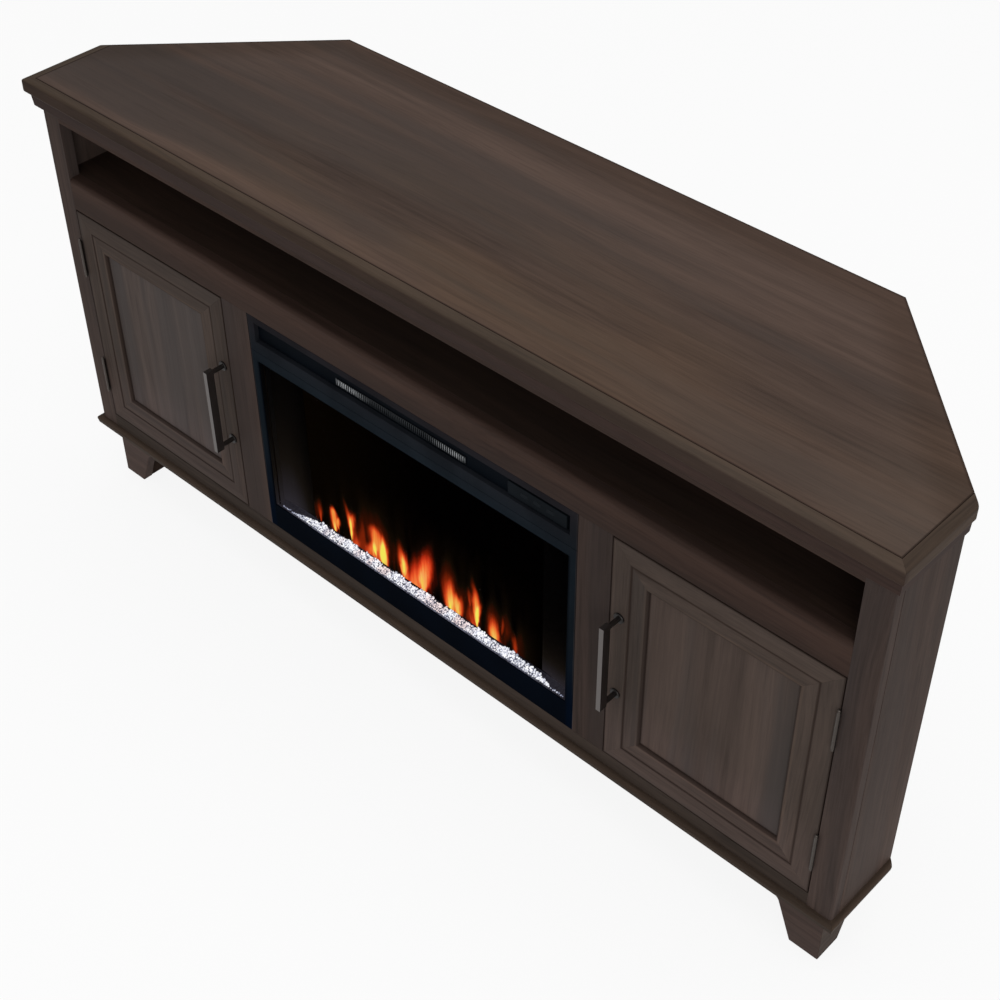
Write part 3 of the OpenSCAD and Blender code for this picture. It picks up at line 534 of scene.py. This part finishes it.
def turned(first_axis, second_axis, past_mitre):
    """Grain along the first axis, or along the second where past_mitre gives 1."""

    def point_of(finish):
        first = along_grain(finish, first_axis)
        second = along_grain(finish, second_axis)
        share = past_mitre(finish)
        inputs = {0: share, 4: first, 5: finish.vector("ADD", second, past_mitre_offset)}
        return finish.node("Mix", {"data_type": "VECTOR"}, inputs, out=1)

    return point_of


def wrapped(node):
    """For a moulding on the front and both ends: 1 on an end."""
    low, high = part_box(node)

    def past_mitre(finish):
        from_side = high.x - finish.coordinate("X").size()
        from_front = finish.coordinate("Y") - low.y
        return from_front.math("GREATER_THAN", from_side)

    return past_mitre


print("grain can turn at a mitre")

# %% Mouldings


def edging_touch(finish, shade):
    """Glaze in the seam by the panel, painted shade on the upright front face, a paler right end."""
    low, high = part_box("top_edging")
    x = finish.coordinate("X")
    behind_front = finish.coordinate("Y") - low.y
    from_edge = behind_front.math("MINIMUM", high.x - x.size())
    below_top = high.z - finish.coordinate("Z")
    # Painted shade: the upright face in front is darker than the top.
    upright = below_top.ramp(1 * mm, 5 * mm) * behind_front.ramp(12 * mm, 2 * mm)
    shade = finish.tinted(upright, shade, (0.72, 0.66, 0.68))
    shade = finish.tinted(x.ramp(350 * mm, 650 * mm), shade, (1.2, 1.18, 1.2))
    seam_w = panel_low.y - low.y
    seam = from_edge.ramp(seam_w - 1.6 * mm, seam_w - 0.4 * mm) * 0.7
    return finish.mix(seam, shade, glaze_and_shade)


MOULDINGS = [
    # node, middle colour, touch
    ("top_edging", (61, 51, 43), edging_touch),
    ("crown_moulding", (54, 42, 38), None),
    ("base_moulding", (56, 46, 39), None),
]
for number, (node, stain, touch) in enumerate(MOULDINGS):
    point_of = turned("X", "Y", wrapped(node))
    dress(stained_wood(node + "_wood", point_of, stain, 41 + 4 * number, touch), node)
print(len(MOULDINGS), "mouldings")

# %% [markdown]
# ### The doors
# A door is a frame round a panel. Glaze collects in the groove that runs round the frame, in the
# corner where the panel starts and on the outer edge, and the bead beside the panel has a painted
# highlight. Each door is also paler towards its foot, where the light that the floor throws back is
# painted in. The shape of the frame is in its mesh already, so only the colours are missing. The
# glaze and the highlight follow the distance from the door's edge, and the paler foot the height.

# %% Doors
groove_in = 33 * mm
bead_in = 57 * mm
panel_in = 61 * mm


def edge_distances(finish, node):
    """How far a point on a door is from its nearer side and from its nearer end."""
    low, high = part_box(node)
    middle = (low + high) / 2
    from_side = high.x - middle.x - (finish.coordinate("X") - middle.x).size()
    from_end = high.z - middle.z - (finish.coordinate("Z") - middle.z).size()
    return from_side, from_end


def door_mitre(node):
    """For a door's frame: 1 on an upright."""

    def past_mitre(finish):
        from_side, from_end = edge_distances(finish, node)
        return from_end.math("GREATER_THAN", from_side)

    return past_mitre


def door_touch(node):
    """Glaze lines and the bead's painted highlight, by the distance from the door's edge, and painted
    light from the floor near the foot.
    """

    def touch(finish, shade):
        from_side, from_end = edge_distances(finish, node)
        inwards = from_side.math("MINIMUM", from_end)
        # A painted highlight on the bead beside the panel.
        shade = finish.tinted(inwards.line(bead_in, 3.5 * mm) * 0.3, shade, (1.6, 1.45, 1.3))
        # Painted light from the floor: paler towards the foot.
        near_foot = finish.coordinate("Z").ramp(330 * mm, 200 * mm)
        shade = finish.tinted(near_foot, shade, (1.24, 1.2, 1.24))
        shade = finish.mix(inwards.ramp(2.4 * mm, 0.8 * mm) * 0.6, shade, glaze_and_shade)
        lines = inwards.line(groove_in, 3.4 * mm).math("MAXIMUM", inwards.line(panel_in, 3.6 * mm))
        return finish.mix(lines * 0.6, shade, glaze_and_shade)

    return touch


DOORS = [
    # side, the panel's middle colour, how grey its cool patches are
    ("left", (73, 64, 60), 0.5),
    ("right", (67, 57, 52), 0.8),
]
for number, (side, panel_stain, cool) in enumerate(DOORS):
    frame_node = side + "_door_frame"
    panel_node = side + "_door_panel"
    touch = door_touch(frame_node)
    point_of = turned("X", "Z", door_mitre(frame_node))
    frame_wood = stained_wood(frame_node + "_wood", point_of, (62, 53, 48), 57 + number, touch)
    dress(frame_wood, frame_node)
    panel_wood = stained_wood(
        panel_node + "_wood", straight("Z"), panel_stain, 61 + number, touch, band=9.0, fine=0.6, cool=cool
    )
    dress(panel_wood, panel_node)
print(len(DOORS), "doors finished")

# %% [markdown]
# ## Metals
# The handles are brushed nickel: metal with streaks along the bar. The hinges are satin steel, and
# the plates under the handles are nearly black. Inside the fire, the rotor and the blower's wheel
# are bright and their motors dull. One recipe serves them all. Brush marks are too fine to model,
# so they are noise, with many lumps per metre across the marks and few along them.

# %% Metals


def brushed_metal(name, colour, rough, lumps):
    """Bare metal with streaks. Lumps is their number per metre along X, Y and Z."""
    finish = Finish(name, Metallic=1.0)
    point = finish.point()
    streaks = finish.noise(point, lumps, 2.0, 0.6)
    smudge = finish.noise(point, (30.0, 30.0, 30.0), 2.0)
    darker = (colour[0] * 0.76, colour[1] * 0.76, colour[2] * 0.76, 1.0)
    finish.set("Base Color", finish.mix(streaks * 0.7 + smudge * 0.3, darker, colour))
    finish.set("Roughness", rough + (streaks - 0.5) * 0.12 + (smudge - 0.5) * 0.08)
    finish.bump(streaks, 0.2, 0.1 * mm)
    return finish


nickel = brushed_metal("brushed_nickel", srgb(102, 97, 95), 0.36, (1800.0, 1800.0, 22.0))
satin_steel = brushed_metal("satin_steel", srgb(78, 72, 68), 0.42, (900.0, 900.0, 60.0))
dark_bronze = brushed_metal("dark_bronze", srgb(44, 42, 41), 0.38, (400.0, 400.0, 400.0))
bright_steel = brushed_metal("bright_steel", srgb(205, 206, 208), 0.28, (20.0, 900.0, 900.0))
motor_steel = brushed_metal("motor_steel", srgb(128, 129, 130), 0.42, (900.0, 40.0, 40.0))

dress(nickel, "left_handle", "right_handle")
dress(dark_bronze, "left_handle_fixings", "right_handle_fixings")
dress(satin_steel, "jamb_leaves", "left_door_leaves", "right_door_leaves", "hinge_pins")
dress(satin_steel, "left_strike_plate", "right_strike_plate", "shelf_pins", "case_brackets")
dress(bright_steel, "flame_rotor", "blower_wheel", "heating_element")
dress(motor_steel, "rotor_motor", "blower_motor")
print("handles, hinges and the fire's metal parts finished")

# %% [markdown]
# ## The fire's front
# The frame is sheet steel with a black coat that leans to blue and hardly shines. Its bars differ
# a little: the wide lower bar is the darkest and the bars above the glass are the lightest. They
# are one mesh, so they have one finish, whose colour follows the height. A painted highlight runs
# along the frame's outer edge, and painted shade lies on the window's sides.

# %% A recipe for paint and plastic
black = (0.0, 0.0, 0.0, 1.0)


def coated(name, colour, rough, spots=700.0, gloss=0.01):
    """Paint or plastic with a fine texture. Colour is a colour, or a function of the finish."""
    finish = Finish(name, Specular_IOR_Level=gloss)
    point = finish.point()
    grain = finish.noise(point, (spots, spots, spots), 2.0)
    cloud = finish.noise(point, (14.0, 14.0, 14.0), 2.0)
    shade = colour(finish) if callable(colour) else colour
    finish.set("Base Color", finish.mix(cloud.ramp(0.7, 0.3) * 0.28, shade, black))
    finish.set("Roughness", rough + (grain - 0.5) * 0.14)
    finish.bump(grain, 0.15, 0.1 * mm)
    return finish


print("paint recipe ready")

# %% Black metal and plastic
bezel_low, bezel_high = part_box("fire_bezel")
screen_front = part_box("flame_screen")[0].y
window_half = 322 * mm


def bezel_shade(finish):
    """The frame's colour by height, as a share of the frame's height, with a painted highlight on
    the outer edge and painted shade on the window's sides.
    """
    from_middle = finish.coordinate("X").size()
    share = (finish.coordinate("Z") - bezel_low.z) / (bezel_high.z - bezel_low.z)
    # A painted highlight along the frame's outer edge.
    rim = (bezel_high.x - from_middle).ramp(2.2 * mm, 1.0 * mm) * share.ramp(0.1, 0.4)
    shade = finish.colours(
        share,
        (0.0, srgb(1, 9, 23)),
        (0.12, srgb(2, 11, 26)),
        (0.45, srgb(18, 25, 31)),
        (0.8, srgb(23, 30, 36)),
        (1.0, srgb(33, 31, 34)),
    )
    shade = finish.mix(rim, shade, srgb(40, 38, 40))
    # Painted shade on the window's sides.
    window_side_shade = from_middle.ramp(window_half + 6 * mm, window_half) * share.ramp(0.81, 0.8)
    return finish.mix(window_side_shade * 0.8, shade, srgb(3, 6, 12))


def case_shade(finish):
    """The case is painted black inside the window and bare grey behind the screen."""
    behind = finish.coordinate("Y").ramp(screen_front - 1 * mm, screen_front + 1 * mm)
    return finish.mix(behind, srgb(7, 8, 10), srgb(58, 61, 65))


black_steel = coated("black_steel", bezel_shade, 0.5, gloss=0.003)
outlet_black = coated("outlet_black", srgb(9, 13, 18), 0.6)
panel_black = coated("panel_black", srgb(20, 24, 28), 0.45)
button_black = coated("button_black", srgb(26, 30, 34), 0.4, 1500.0)
case_grey = coated("case_grey", srgb(58, 61, 65), 0.5, 500.0, 0.3)
case_paint = coated("case_paint", case_shade, 0.55, 500.0, 0.02)
bushing_black = coated("bushing_black", srgb(26, 26, 27), 0.6, 900.0, 0.3)
catch_grey = coated("catch_grey", srgb(120, 120, 122), 0.5, 900.0, 0.4)

dress(black_steel, "fire_bezel")
dress(outlet_black, "outlet_panel")
dress(panel_black, "control_panel")
dress(button_black, "power_button", "flame_button", "heat_button")
dress(case_paint, "fire_case")
dress(case_grey, "rotor_brackets", "blower_case")
dress(bushing_black, "cord_inlet")
dress(catch_grey, "door_catches")
print("the fire's frame is", round(bezel_high.x - bezel_low.x, 3), "m wide")

# %% [markdown]
# ### The air grille
# The grille's fine upright bars are chromed. They catch the light at both ends and stay dark grey
# in the middle. Small lamps beside the grille could do that, but they would light the frame too, so
# the metal's colour follows the distance from the grille's middle.

# %% The air grille
grille_low, grille_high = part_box("outlet_grille")
grille_middle = (grille_low.x + grille_high.x) / 2
grille_half = (grille_high.x - grille_low.x) / 2

chrome = Finish("grille_chrome", Metallic=1.0)
# 0 in the middle of the grille and 1 at its ends.
from_middle = ((chrome.coordinate("X") - grille_middle) / grille_half).size()
glint = chrome.noise(chrome.point(), (260.0, 60.0, 60.0), 1.0).ramp(0.3, 0.7)
height = chrome.coordinate("Z")
from_rim = (height - grille_low.z).math("MINIMUM", grille_high.z - height)
near_ends = from_middle.ramp(0.4, 0.85) * from_middle.ramp(0.995, 0.98)
shine = near_ends * from_rim.ramp(1.2 * mm, 2.4 * mm) * (0.35 + glint * 0.5)
bars = chrome.mix(from_rim.ramp(0.8 * mm, 2.2 * mm), srgb(18, 21, 24), srgb(42, 46, 50))
chrome.set("Base Color", chrome.mix(shine, bars, srgb(190, 193, 196)))
chrome.set("Roughness", 0.34 - shine * 0.12)
dress(chrome, "outlet_grille")
print("grille", round(2 * grille_half, 3), "m wide")

# %% [markdown]
# ### Glass
# The window is clear toughened glass with a slight tint. Real refraction is slow to render, and a
# thin pane hardly bends the view, so this is a dark shader with a low alpha, which lets the fire
# show. The photograph shows no reflection in it, so it has no gloss.

# %% Glass
glass = Finish("smoked_glass", Specular_IOR_Level=0.0, Alpha=0.07)
haze = glass.noise(glass.point(), (9.0, 9.0, 9.0), 2.0)
glass.set("Base Color", glass.mix(haze, srgb(4, 4, 6), srgb(10, 8, 8)))
glass.set("Roughness", 0.03 + haze * 0.04)
dress(glass, "fire_glass")
print("glass finished")

# %% [markdown]
# ## The flames
# The real flames are light that turning blades throw on a dark screen. So they belong to the
# screen's finish, as light that it gives off. A picture of flames would blur close by, and solid
# ones would have hard outlines, so they are worked out. Each tongue of flame is a sum: its middle
# line leans as it rises, its width swells and then tapers, and its heat falls off towards the sides
# and the tip. Noise shifts the whole field a little, so that no tongue has a drawn outline. The
# heats are added up, and one ramp turns heat into colour: nearly black, red, orange, yellow. The
# tongue in the middle is the reddest, so the others get a little more green.

# %% Flames on the screen
tray_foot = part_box("ember_tray")[0].z
FLAMES = [
    # foot x and height, tip x and height, half width, belly, share of the rise that stays hot, heat;
    # in millimetres, with heights measured from the ember tray
    (-241, -7, -239, 70, 7.0, 1.1, 0.3, 0.42),
    (-250, -7, -246, 66, 6.0, 1.0, 0.3, 0.16),
    (-204, -2, -210, 64, 12.5, 1.1, 0.72, 0.68),
    (-196, 12, -193, 46, 5.0, 1.0, 0.6, 0.42),
    (-208, -10, -212, 34, 11.0, 1.0, 0.3, 0.3),
    (-165, 8, -182, 108, 7.5, 1.1, 0.4, 0.42),
    (-165, 8, -148, 88, 7.5, 1.1, 0.45, 0.36),
    (-162, 10, -160, 86, 10.0, 1.2, 0.6, 0.28),
    (-159, -14, -152, 38, 12.0, 1.0, 0.3, 0.4),
    (-108, 8, -108, 84, 15.0, 1.4, 0.7, 0.4),
    (-90, -20, -89, 76, 11.5, 0.85, 0.5, 0.92),
    (-121, -14, -112, 44, 15.0, 0.9, 0.5, 0.5),
    (-104, -12, -118, 150, 34.0, 1.0, 0.1, 0.32),
    (-42, -26, -42, 84, 10.0, 0.85, 0.1, 0.58),
    (-46, 6, -54, 94, 9.0, 1.1, 0.4, 0.42),
    (-42, 6, -33, 78, 8.0, 1.1, 0.4, 0.34),
    (-20, -34, -16, 84, 19.0, 0.75, 0.2, 0.76),
    (0, -18, 25, 136, 17.5, 1.15, 0.32, 0.82),
    (61, -30, 63, 90, 12.5, 0.75, 0.2, 0.62),
    (56, -16, 60, 140, 20.0, 1.0, 0.2, 0.38),
    (75, -16, 74, 56, 7.5, 0.9, 0.6, 0.56),
    (79, -16, 87, 58, 7.5, 0.9, 0.5, 0.34),
    (117, 2, 105, 122, 9.0, 0.85, 0.3, 0.74),
    (119, 10, 128, 70, 6.5, 1.1, 0.5, 0.36),
    (110, -14, 104, 48, 16.0, 1.0, 0.3, 0.36),
    (102, 38, 96, 86, 4.5, 1.0, 0.5, 0.22),
    (156, -30, 153, 66, 14.0, 0.75, 0.25, 0.62),
    (154, -10, 155, 108, 18.0, 1.0, 0.2, 0.32),
    (171, 20, 175, 72, 3.6, 1.0, 0.5, 0.2),
    (199, -8, 190, 58, 6.5, 1.1, 0.5, 0.29),
]


def tongue(x, height, foot_x, foot_up, tip_x, tip_up, half_w, belly, hot_share, heat):
    """The heat of one tongue of flame at a point on the screen, all in millimetres."""
    rise = (height - foot_up) / (tip_up - foot_up)
    climb = rise.math("MAXIMUM", 0.001).math("MINIMUM", 1.0)
    middle = foot_x + (tip_x - foot_x) * (climb * climb)
    swell = climb ** belly
    width = (swell * (1 - swell) * 4 + 0.02) * half_w
    aside = (x - middle).size() / width
    core = aside.ramp(1.25, 0.15) * 0.87
    halo = aside.ramp(2.2, 0.3) * 0.13
    return (core + halo) * rise.ramp(1.0, hot_share) * heat


screen = Finish("flame_screen", Specular_IOR_Level=0.0, Roughness=0.5, Emission_Strength=1.05)
point = screen.point()
sway = screen.noise(point, (26.0, 1.0, 17.0), 2.0) - 0.5
curl = screen.noise(point, (95.0, 1.0, 34.0), 2.0) - 0.5
x_mm = screen.coordinate("X") * 1000 + sway * 9 + curl * 7
height_mm = (screen.coordinate("Z") - tray_foot) * 1000
total = None
for row in FLAMES:
    heat = tongue(x_mm, height_mm, *row)
    total = heat if total is None else total + heat
licks = screen.noise(point, (190.0, 1.0, 14.0), 2.0, 0.6)
total = total * (0.68 + licks * 0.64)

# A faint glow fills the screen between the tongues, where none is hot already.
glow_field = screen.noise(point, (40.0, 1.0, 8.0), 2.0).ramp(0.3, 0.7)
glow = glow_field * (x_mm - 10).size().ramp(250.0, 150.0)
low_glow = glow * height_mm.ramp(95.0, 30.0) * 0.24
high_glow = glow * height_mm.ramp(190.0, 40.0) * 0.08 + x_mm.ramp(40.0, -260.0) * 0.03
total = total + (low_glow + high_glow) * (1 - total.math("MINIMUM", 1.0))
flame_colour = screen.colours(
    total.math("MINIMUM", 1.0),
    (0.0, (0.0, 0.0, 0.0, 1.0)),
    (0.1, srgb(17, 7, 3)),
    (0.22, srgb(58, 12, 3)),
    (0.36, srgb(124, 28, 8)),
    (0.5, srgb(198, 50, 22)),
    (0.64, srgb(242, 88, 42)),
    (0.78, srgb(253, 132, 64)),
    (0.9, srgb(255, 174, 92)),
    (1.0, srgb(255, 206, 88)),
)
from_middle_tongue = (x_mm - 2).size()
flame_colour = screen.tinted(from_middle_tongue.ramp(26.0, 54.0) * 0.75, flame_colour, (0.96, 1.5, 1.1))
screen.set("Base Color", screen.mix(licks, srgb(0, 0, 0), srgb(2, 1, 1)))
screen.set("Emission Color", flame_colour)
dress(screen, "flame_screen")
print(len(FLAMES), "tongues of flame")

# %% [markdown]
# ### What the ember bed lights
# Two thin plates close the fire at its ends. They are lit from the ember bed below them, so they
# are palest at their foot and fade into the dark above it. The left side faces the camera and
# stays lit further up. The same light falls on the case's walls and on the painted edges of the
# stiles, in front of the plates. The tray is lit through from below where the heap is full, and
# towards the heap's ends it only glows faintly, like the foot of the plates. Lamps inside the case
# would be grainy at few samples, so this light is in the finishes.

# %% Side plates, and the walls beside them
left_fade_mm = 80
right_fade_mm = 32


def bed_light(finish, share=1.0):
    """Gives a finish the light that the ember bed throws on the sides of the fire."""
    point = finish.point()
    x = finish.coordinate("X")
    streaks = finish.noise(point, (60.0, 60.0, 5.0), 2.0)
    height_mm = (finish.coordinate("Z") - tray_foot) * 1000
    left = x.ramp(200 * mm, -200 * mm)
    fade_mm = right_fade_mm + left * (left_fade_mm - right_fade_mm)
    glow = (0 - height_mm / fade_mm).math("EXPONENT") * (0.85 + streaks * 0.3)
    outwards = x.size().ramp(250 * mm, 300 * mm) * left + (1 - left)
    glow = glow * (0.2 + outwards * 0.8) * share
    shade = finish.colours(glow, (0.0, black), (0.29, srgb(21, 17, 13)), (1.0, srgb(49, 46, 52)))
    finish.set("Emission Color", shade)
    finish.set("Emission Strength", 1.0)
    return streaks


plate = Finish("side_plate", Specular_IOR_Level=0.0, Roughness=0.6)
streaks = bed_light(plate)
plate.set("Base Color", plate.mix(streaks, srgb(2, 2, 2), srgb(5, 4, 4)))
dress(plate, "side_reflectors")

wall_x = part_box("fire_case")[1].x
inside_wall = case_paint.coordinate("X").size().ramp(wall_x - 0.4 * mm, wall_x - 0.7 * mm)
before_screen = case_paint.coordinate("Y").ramp(screen_front, screen_front - 1 * mm)
bed_light(case_paint, inside_wall * before_screen * 0.8)
bed_light(stile_wood, stile_edge(stile_wood) * 0.6)
print("side plates lit")

# %% The tray under the embers
glass_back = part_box("fire_glass")[1].y
heap_full_x = 238 * mm
heap_end_x = 312 * mm
heap_slant = (screen_front - glass_back) / (heap_end_x - heap_full_x)

tray = Finish("ember_tray", Specular_IOR_Level=0.1, Emission_Strength=0.8)
cloud = tray.noise(tray.point(), (260.0, 260.0, 260.0), 2.0).ramp(0.35, 0.65)
tray.set("Base Color", tray.mix(cloud, srgb(24, 26, 34), srgb(40, 42, 50)))
tray.set("Roughness", 0.25 + cloud * 0.2)
from_middle = tray.coordinate("X").size()
heap_edge = screen_front - (from_middle - heap_full_x).math("MAXIMUM", 0.0) * heap_slant
beyond = from_middle.ramp(heap_full_x, heap_full_x + 32 * mm)
under_heap = (heap_edge - tray.coordinate("Y")).ramp(2 * mm, 5 * mm)
lit = under_heap * (0.25 + cloud * 0.75) * (1 - beyond * 0.8)
# Painted glow from the ember bed on the bare tray, near black in the middle and faint towards the ends.
faint_glow = tray.mix(beyond, srgb(5, 5, 7), srgb(40, 37, 42))
tray.set("Emission Color", tray.mix(lit, faint_glow, srgb(128, 130, 148)))
dress(tray, "ember_tray")
print("tray lit under a heap", round(2 * heap_end_x, 3), "m long")

# %% [markdown]
# ## The ember bed
# A trough in front of the screen is heaped with clear crystals, lit from below. The loaded frame
# has larger ones in rows, and this finer heap takes their place. Each crystal starts as a ball of
# twenty faces whose corners are knocked about, and there are too many of them for more faces. The
# heap is one to three deep, with a row of small crystals along the glass, and it narrows towards
# both ends. Each facet sends its own share of the light to the eye, so the brightness is picked by
# the facet's direction, and some crystals stay dark.

# %% The heap's shape and one crystal
seeded = random.Random(12)
heap_floor = tray_foot + 2.2 * mm
heap_least = 5 * mm
mound_rise = 8 * mm
wide_mound = 9.5 * mm
small_mound = 4.1 * mm


def heap_height(x):
    """The height of the heap above the tray's floor at x, in uneven mounds."""
    mound = 0.5 + 0.3 * math.sin(x / wide_mound) + 0.2 * math.sin(x / small_mound + 1.0)
    share = min(abs(x) / heap_end_x, 1.0)
    return (heap_least + mound_rise * mound) * (1 - 0.7 * share**6)


def heap_depth(x):
    """How far back the heap reaches at x. It narrows to nothing towards both ends."""
    return screen_front - 1.4 * mm - max(abs(x) - heap_full_x, 0.0) * heap_slant


def add_crystal(shape, place, radius):
    """A small faceted lump, turned and squeezed at random."""
    turn = Euler([seeded.uniform(0, math.tau) for _ in range(3)]).to_matrix().to_4x4()
    stretch = Matrix.Diagonal((1.0, seeded.uniform(0.66, 0.9), seeded.uniform(0.55, 0.8), 1.0))
    matrix = Matrix.Translation(place) @ turn @ stretch
    made = bmesh.ops.create_icosphere(shape, subdivisions=1, radius=radius, matrix=matrix)
    for vert in made["verts"]:
        vert.co += (vert.co - place) * seeded.uniform(-0.22, 0.08)


print("the heap is", round(heap_height(0.0) / mm, 1), "mm high in the middle")

# %% Heap the crystals
crystal_pitch = 4.3 * mm
crystal_layers = 3
crystal_rows = 3
layer_rise = 4.4 * mm

bed = bmesh.new()
front_x = -heap_end_x
while front_x < heap_end_x:
    radius = seeded.uniform(1.7, 2.5) * mm
    height = heap_floor + radius + seeded.uniform(0, 2.0) * mm
    add_crystal(bed, Vector((front_x, glass_back + 0.4 * mm + radius, height)), radius)
    front_x += seeded.uniform(3.2, 4.6) * mm
row_length = int(2 * heap_end_x / crystal_pitch)
for layer in range(crystal_layers):
    for row in range(crystal_rows):
        for i in range(row_length):
            x = (i + 0.5 + seeded.uniform(-0.4, 0.4)) * crystal_pitch - heap_end_x
            radius = seeded.uniform(2.3, 3.3) * mm
            front = glass_back + 1.6 * mm + radius
            back = heap_depth(x) - radius
            if back < front:
                continue
            y = front + (back - front) * (row + seeded.uniform(-0.2, 0.2) + 0.5) / crystal_rows
            z = heap_floor + radius + layer * layer_rise + seeded.uniform(0, 0.8) * mm
            if layer and z + radius * 0.6 > heap_floor + heap_height(x):
                continue
            add_crystal(bed, Vector((x, min(max(y, front), back), z)), radius)

bed_mesh = bpy.data.meshes.new("crystal_bed")
bed.to_mesh(bed_mesh)
print(len(bed.faces), "facets in the ember bed")
bed.free()
crystal_bed = bpy.data.objects.new("crystal_bed", bed_mesh)
scene.collection.objects.link(crystal_bed)

# %% Crystal
crystal = Finish("lit_crystal", Specular_IOR_Level=0.3, Emission_Strength=1.05)
point = crystal.point()
x = crystal.coordinate("X")
facet = crystal.node("NewGeometry", out="True Normal")
spark = crystal.node("TexWhiteNoise", inputs={"Vector": facet})
mottle = crystal.noise(point, (150.0, 150.0, 150.0), 1.0).ramp(0.36, 0.62)
full_light = x.ramp(-310 * mm, -240 * mm) * x.ramp(315 * mm, 270 * mm)
level = (spark * 0.75 + mottle * 0.35) * (0.3 + full_light * 0.7)
light_out = crystal.colours(
    level,
    (0.02, srgb(34, 36, 52)),
    (0.2, srgb(118, 122, 146)),
    (0.4, srgb(196, 200, 216)),
    (0.7, srgb(255, 255, 255)),
)

# The flames behind the heap turn some stretches of it pink, with their light painted into the crystals'
# glow.
blush = crystal.noise(point, (34.0, 1.0, 1.0), 2.0).ramp(0.48, 0.62)
near_flames = x.size().ramp(250 * mm, 180 * mm)
pink = crystal.mix(level, srgb(60, 20, 14), srgb(255, 186, 160))
light_out = crystal.mix(blush * near_flames * 0.4, light_out, pink)
crystal.set("Base Color", crystal.mix(level, srgb(24, 24, 34), srgb(150, 152, 160)))
crystal.set("Roughness", 0.12 + mottle * 0.1)
crystal.set("Emission Color", light_out)
crystal_bed.data.materials.append(crystal.material)
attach(crystal_bed, "cabinet")
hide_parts("ember_crystals")
print("crystals lit")

# %% [markdown]
# ## Inside the fire
# The circuit board is green with paler tracks, and the lamp strips are a pale cream. They only show
# from behind or with the front off, so two colours mixed by noise are enough for each.

# %% Circuit board and lamps
board = Finish("circuit_board", Specular_IOR_Level=0.4)
tracks = board.noise(board.point(), (260.0, 260.0, 40.0), 1.0)
board.set("Base Color", board.mix(tracks.ramp(0.5, 0.56), srgb(20, 74, 46), srgb(48, 112, 70)))
board.set("Roughness", 0.35 + tracks * 0.2)
dress(board, "control_board")

lamps = Finish("lamp_strip", Specular_IOR_Level=0.4)
weave = lamps.noise(lamps.point(), (90.0, 90.0, 90.0), 2.0)
lamps.set("Base Color", lamps.mix(weave, srgb(196, 190, 160), srgb(232, 228, 206)))
lamps.set("Roughness", 0.3 + weave * 0.2)
dress(lamps, "light_strips")
print("circuit board and lamps finished")

# %% [markdown]
# ## Eased edges
# No edge on real furniture is a knife's: sandpaper takes each one down a little, and the light
# catches there. A Weld joins the frame's loose triangles, and a Bevel then eases the sharp edges.

# %% Ease the edges
same_place = 0.01 * mm
sharp_angle = math.radians(32)


def ease(width, segments, *names):
    """Takes down every edge that turns by more than the sharp angle."""
    for name in names:
        weld = nodes[name].modifiers.new("weld", "WELD")
        weld.merge_threshold = same_place
        bevel = nodes[name].modifiers.new("eased_edges", "BEVEL")
        bevel.width = width
        bevel.segments = segments
        bevel.limit_method = "ANGLE"
        bevel.angle_limit = sharp_angle
        bevel.harden_normals = True
        bevel.use_clamp_overlap = True


ease(1.2 * mm, 3, "corner_posts", "front_plinth", "side_plinths", "base_moulding", "crown_moulding")
ease(0.8 * mm, 2, "top_rail", "shelf_rail", "bottom_rail", "fire_stiles", "media_shelf")
ease(0.35 * mm, 2, "left_door_frame", "right_door_frame", "top_edging", "top_panel")
ease(0.9 * mm, 3, "left_handle", "right_handle")
ease(0.5 * mm, 2, "fire_bezel", "control_panel", "outlet_grille")
print(sum(1 for node in nodes.values() if node.modifiers), "nodes eased")
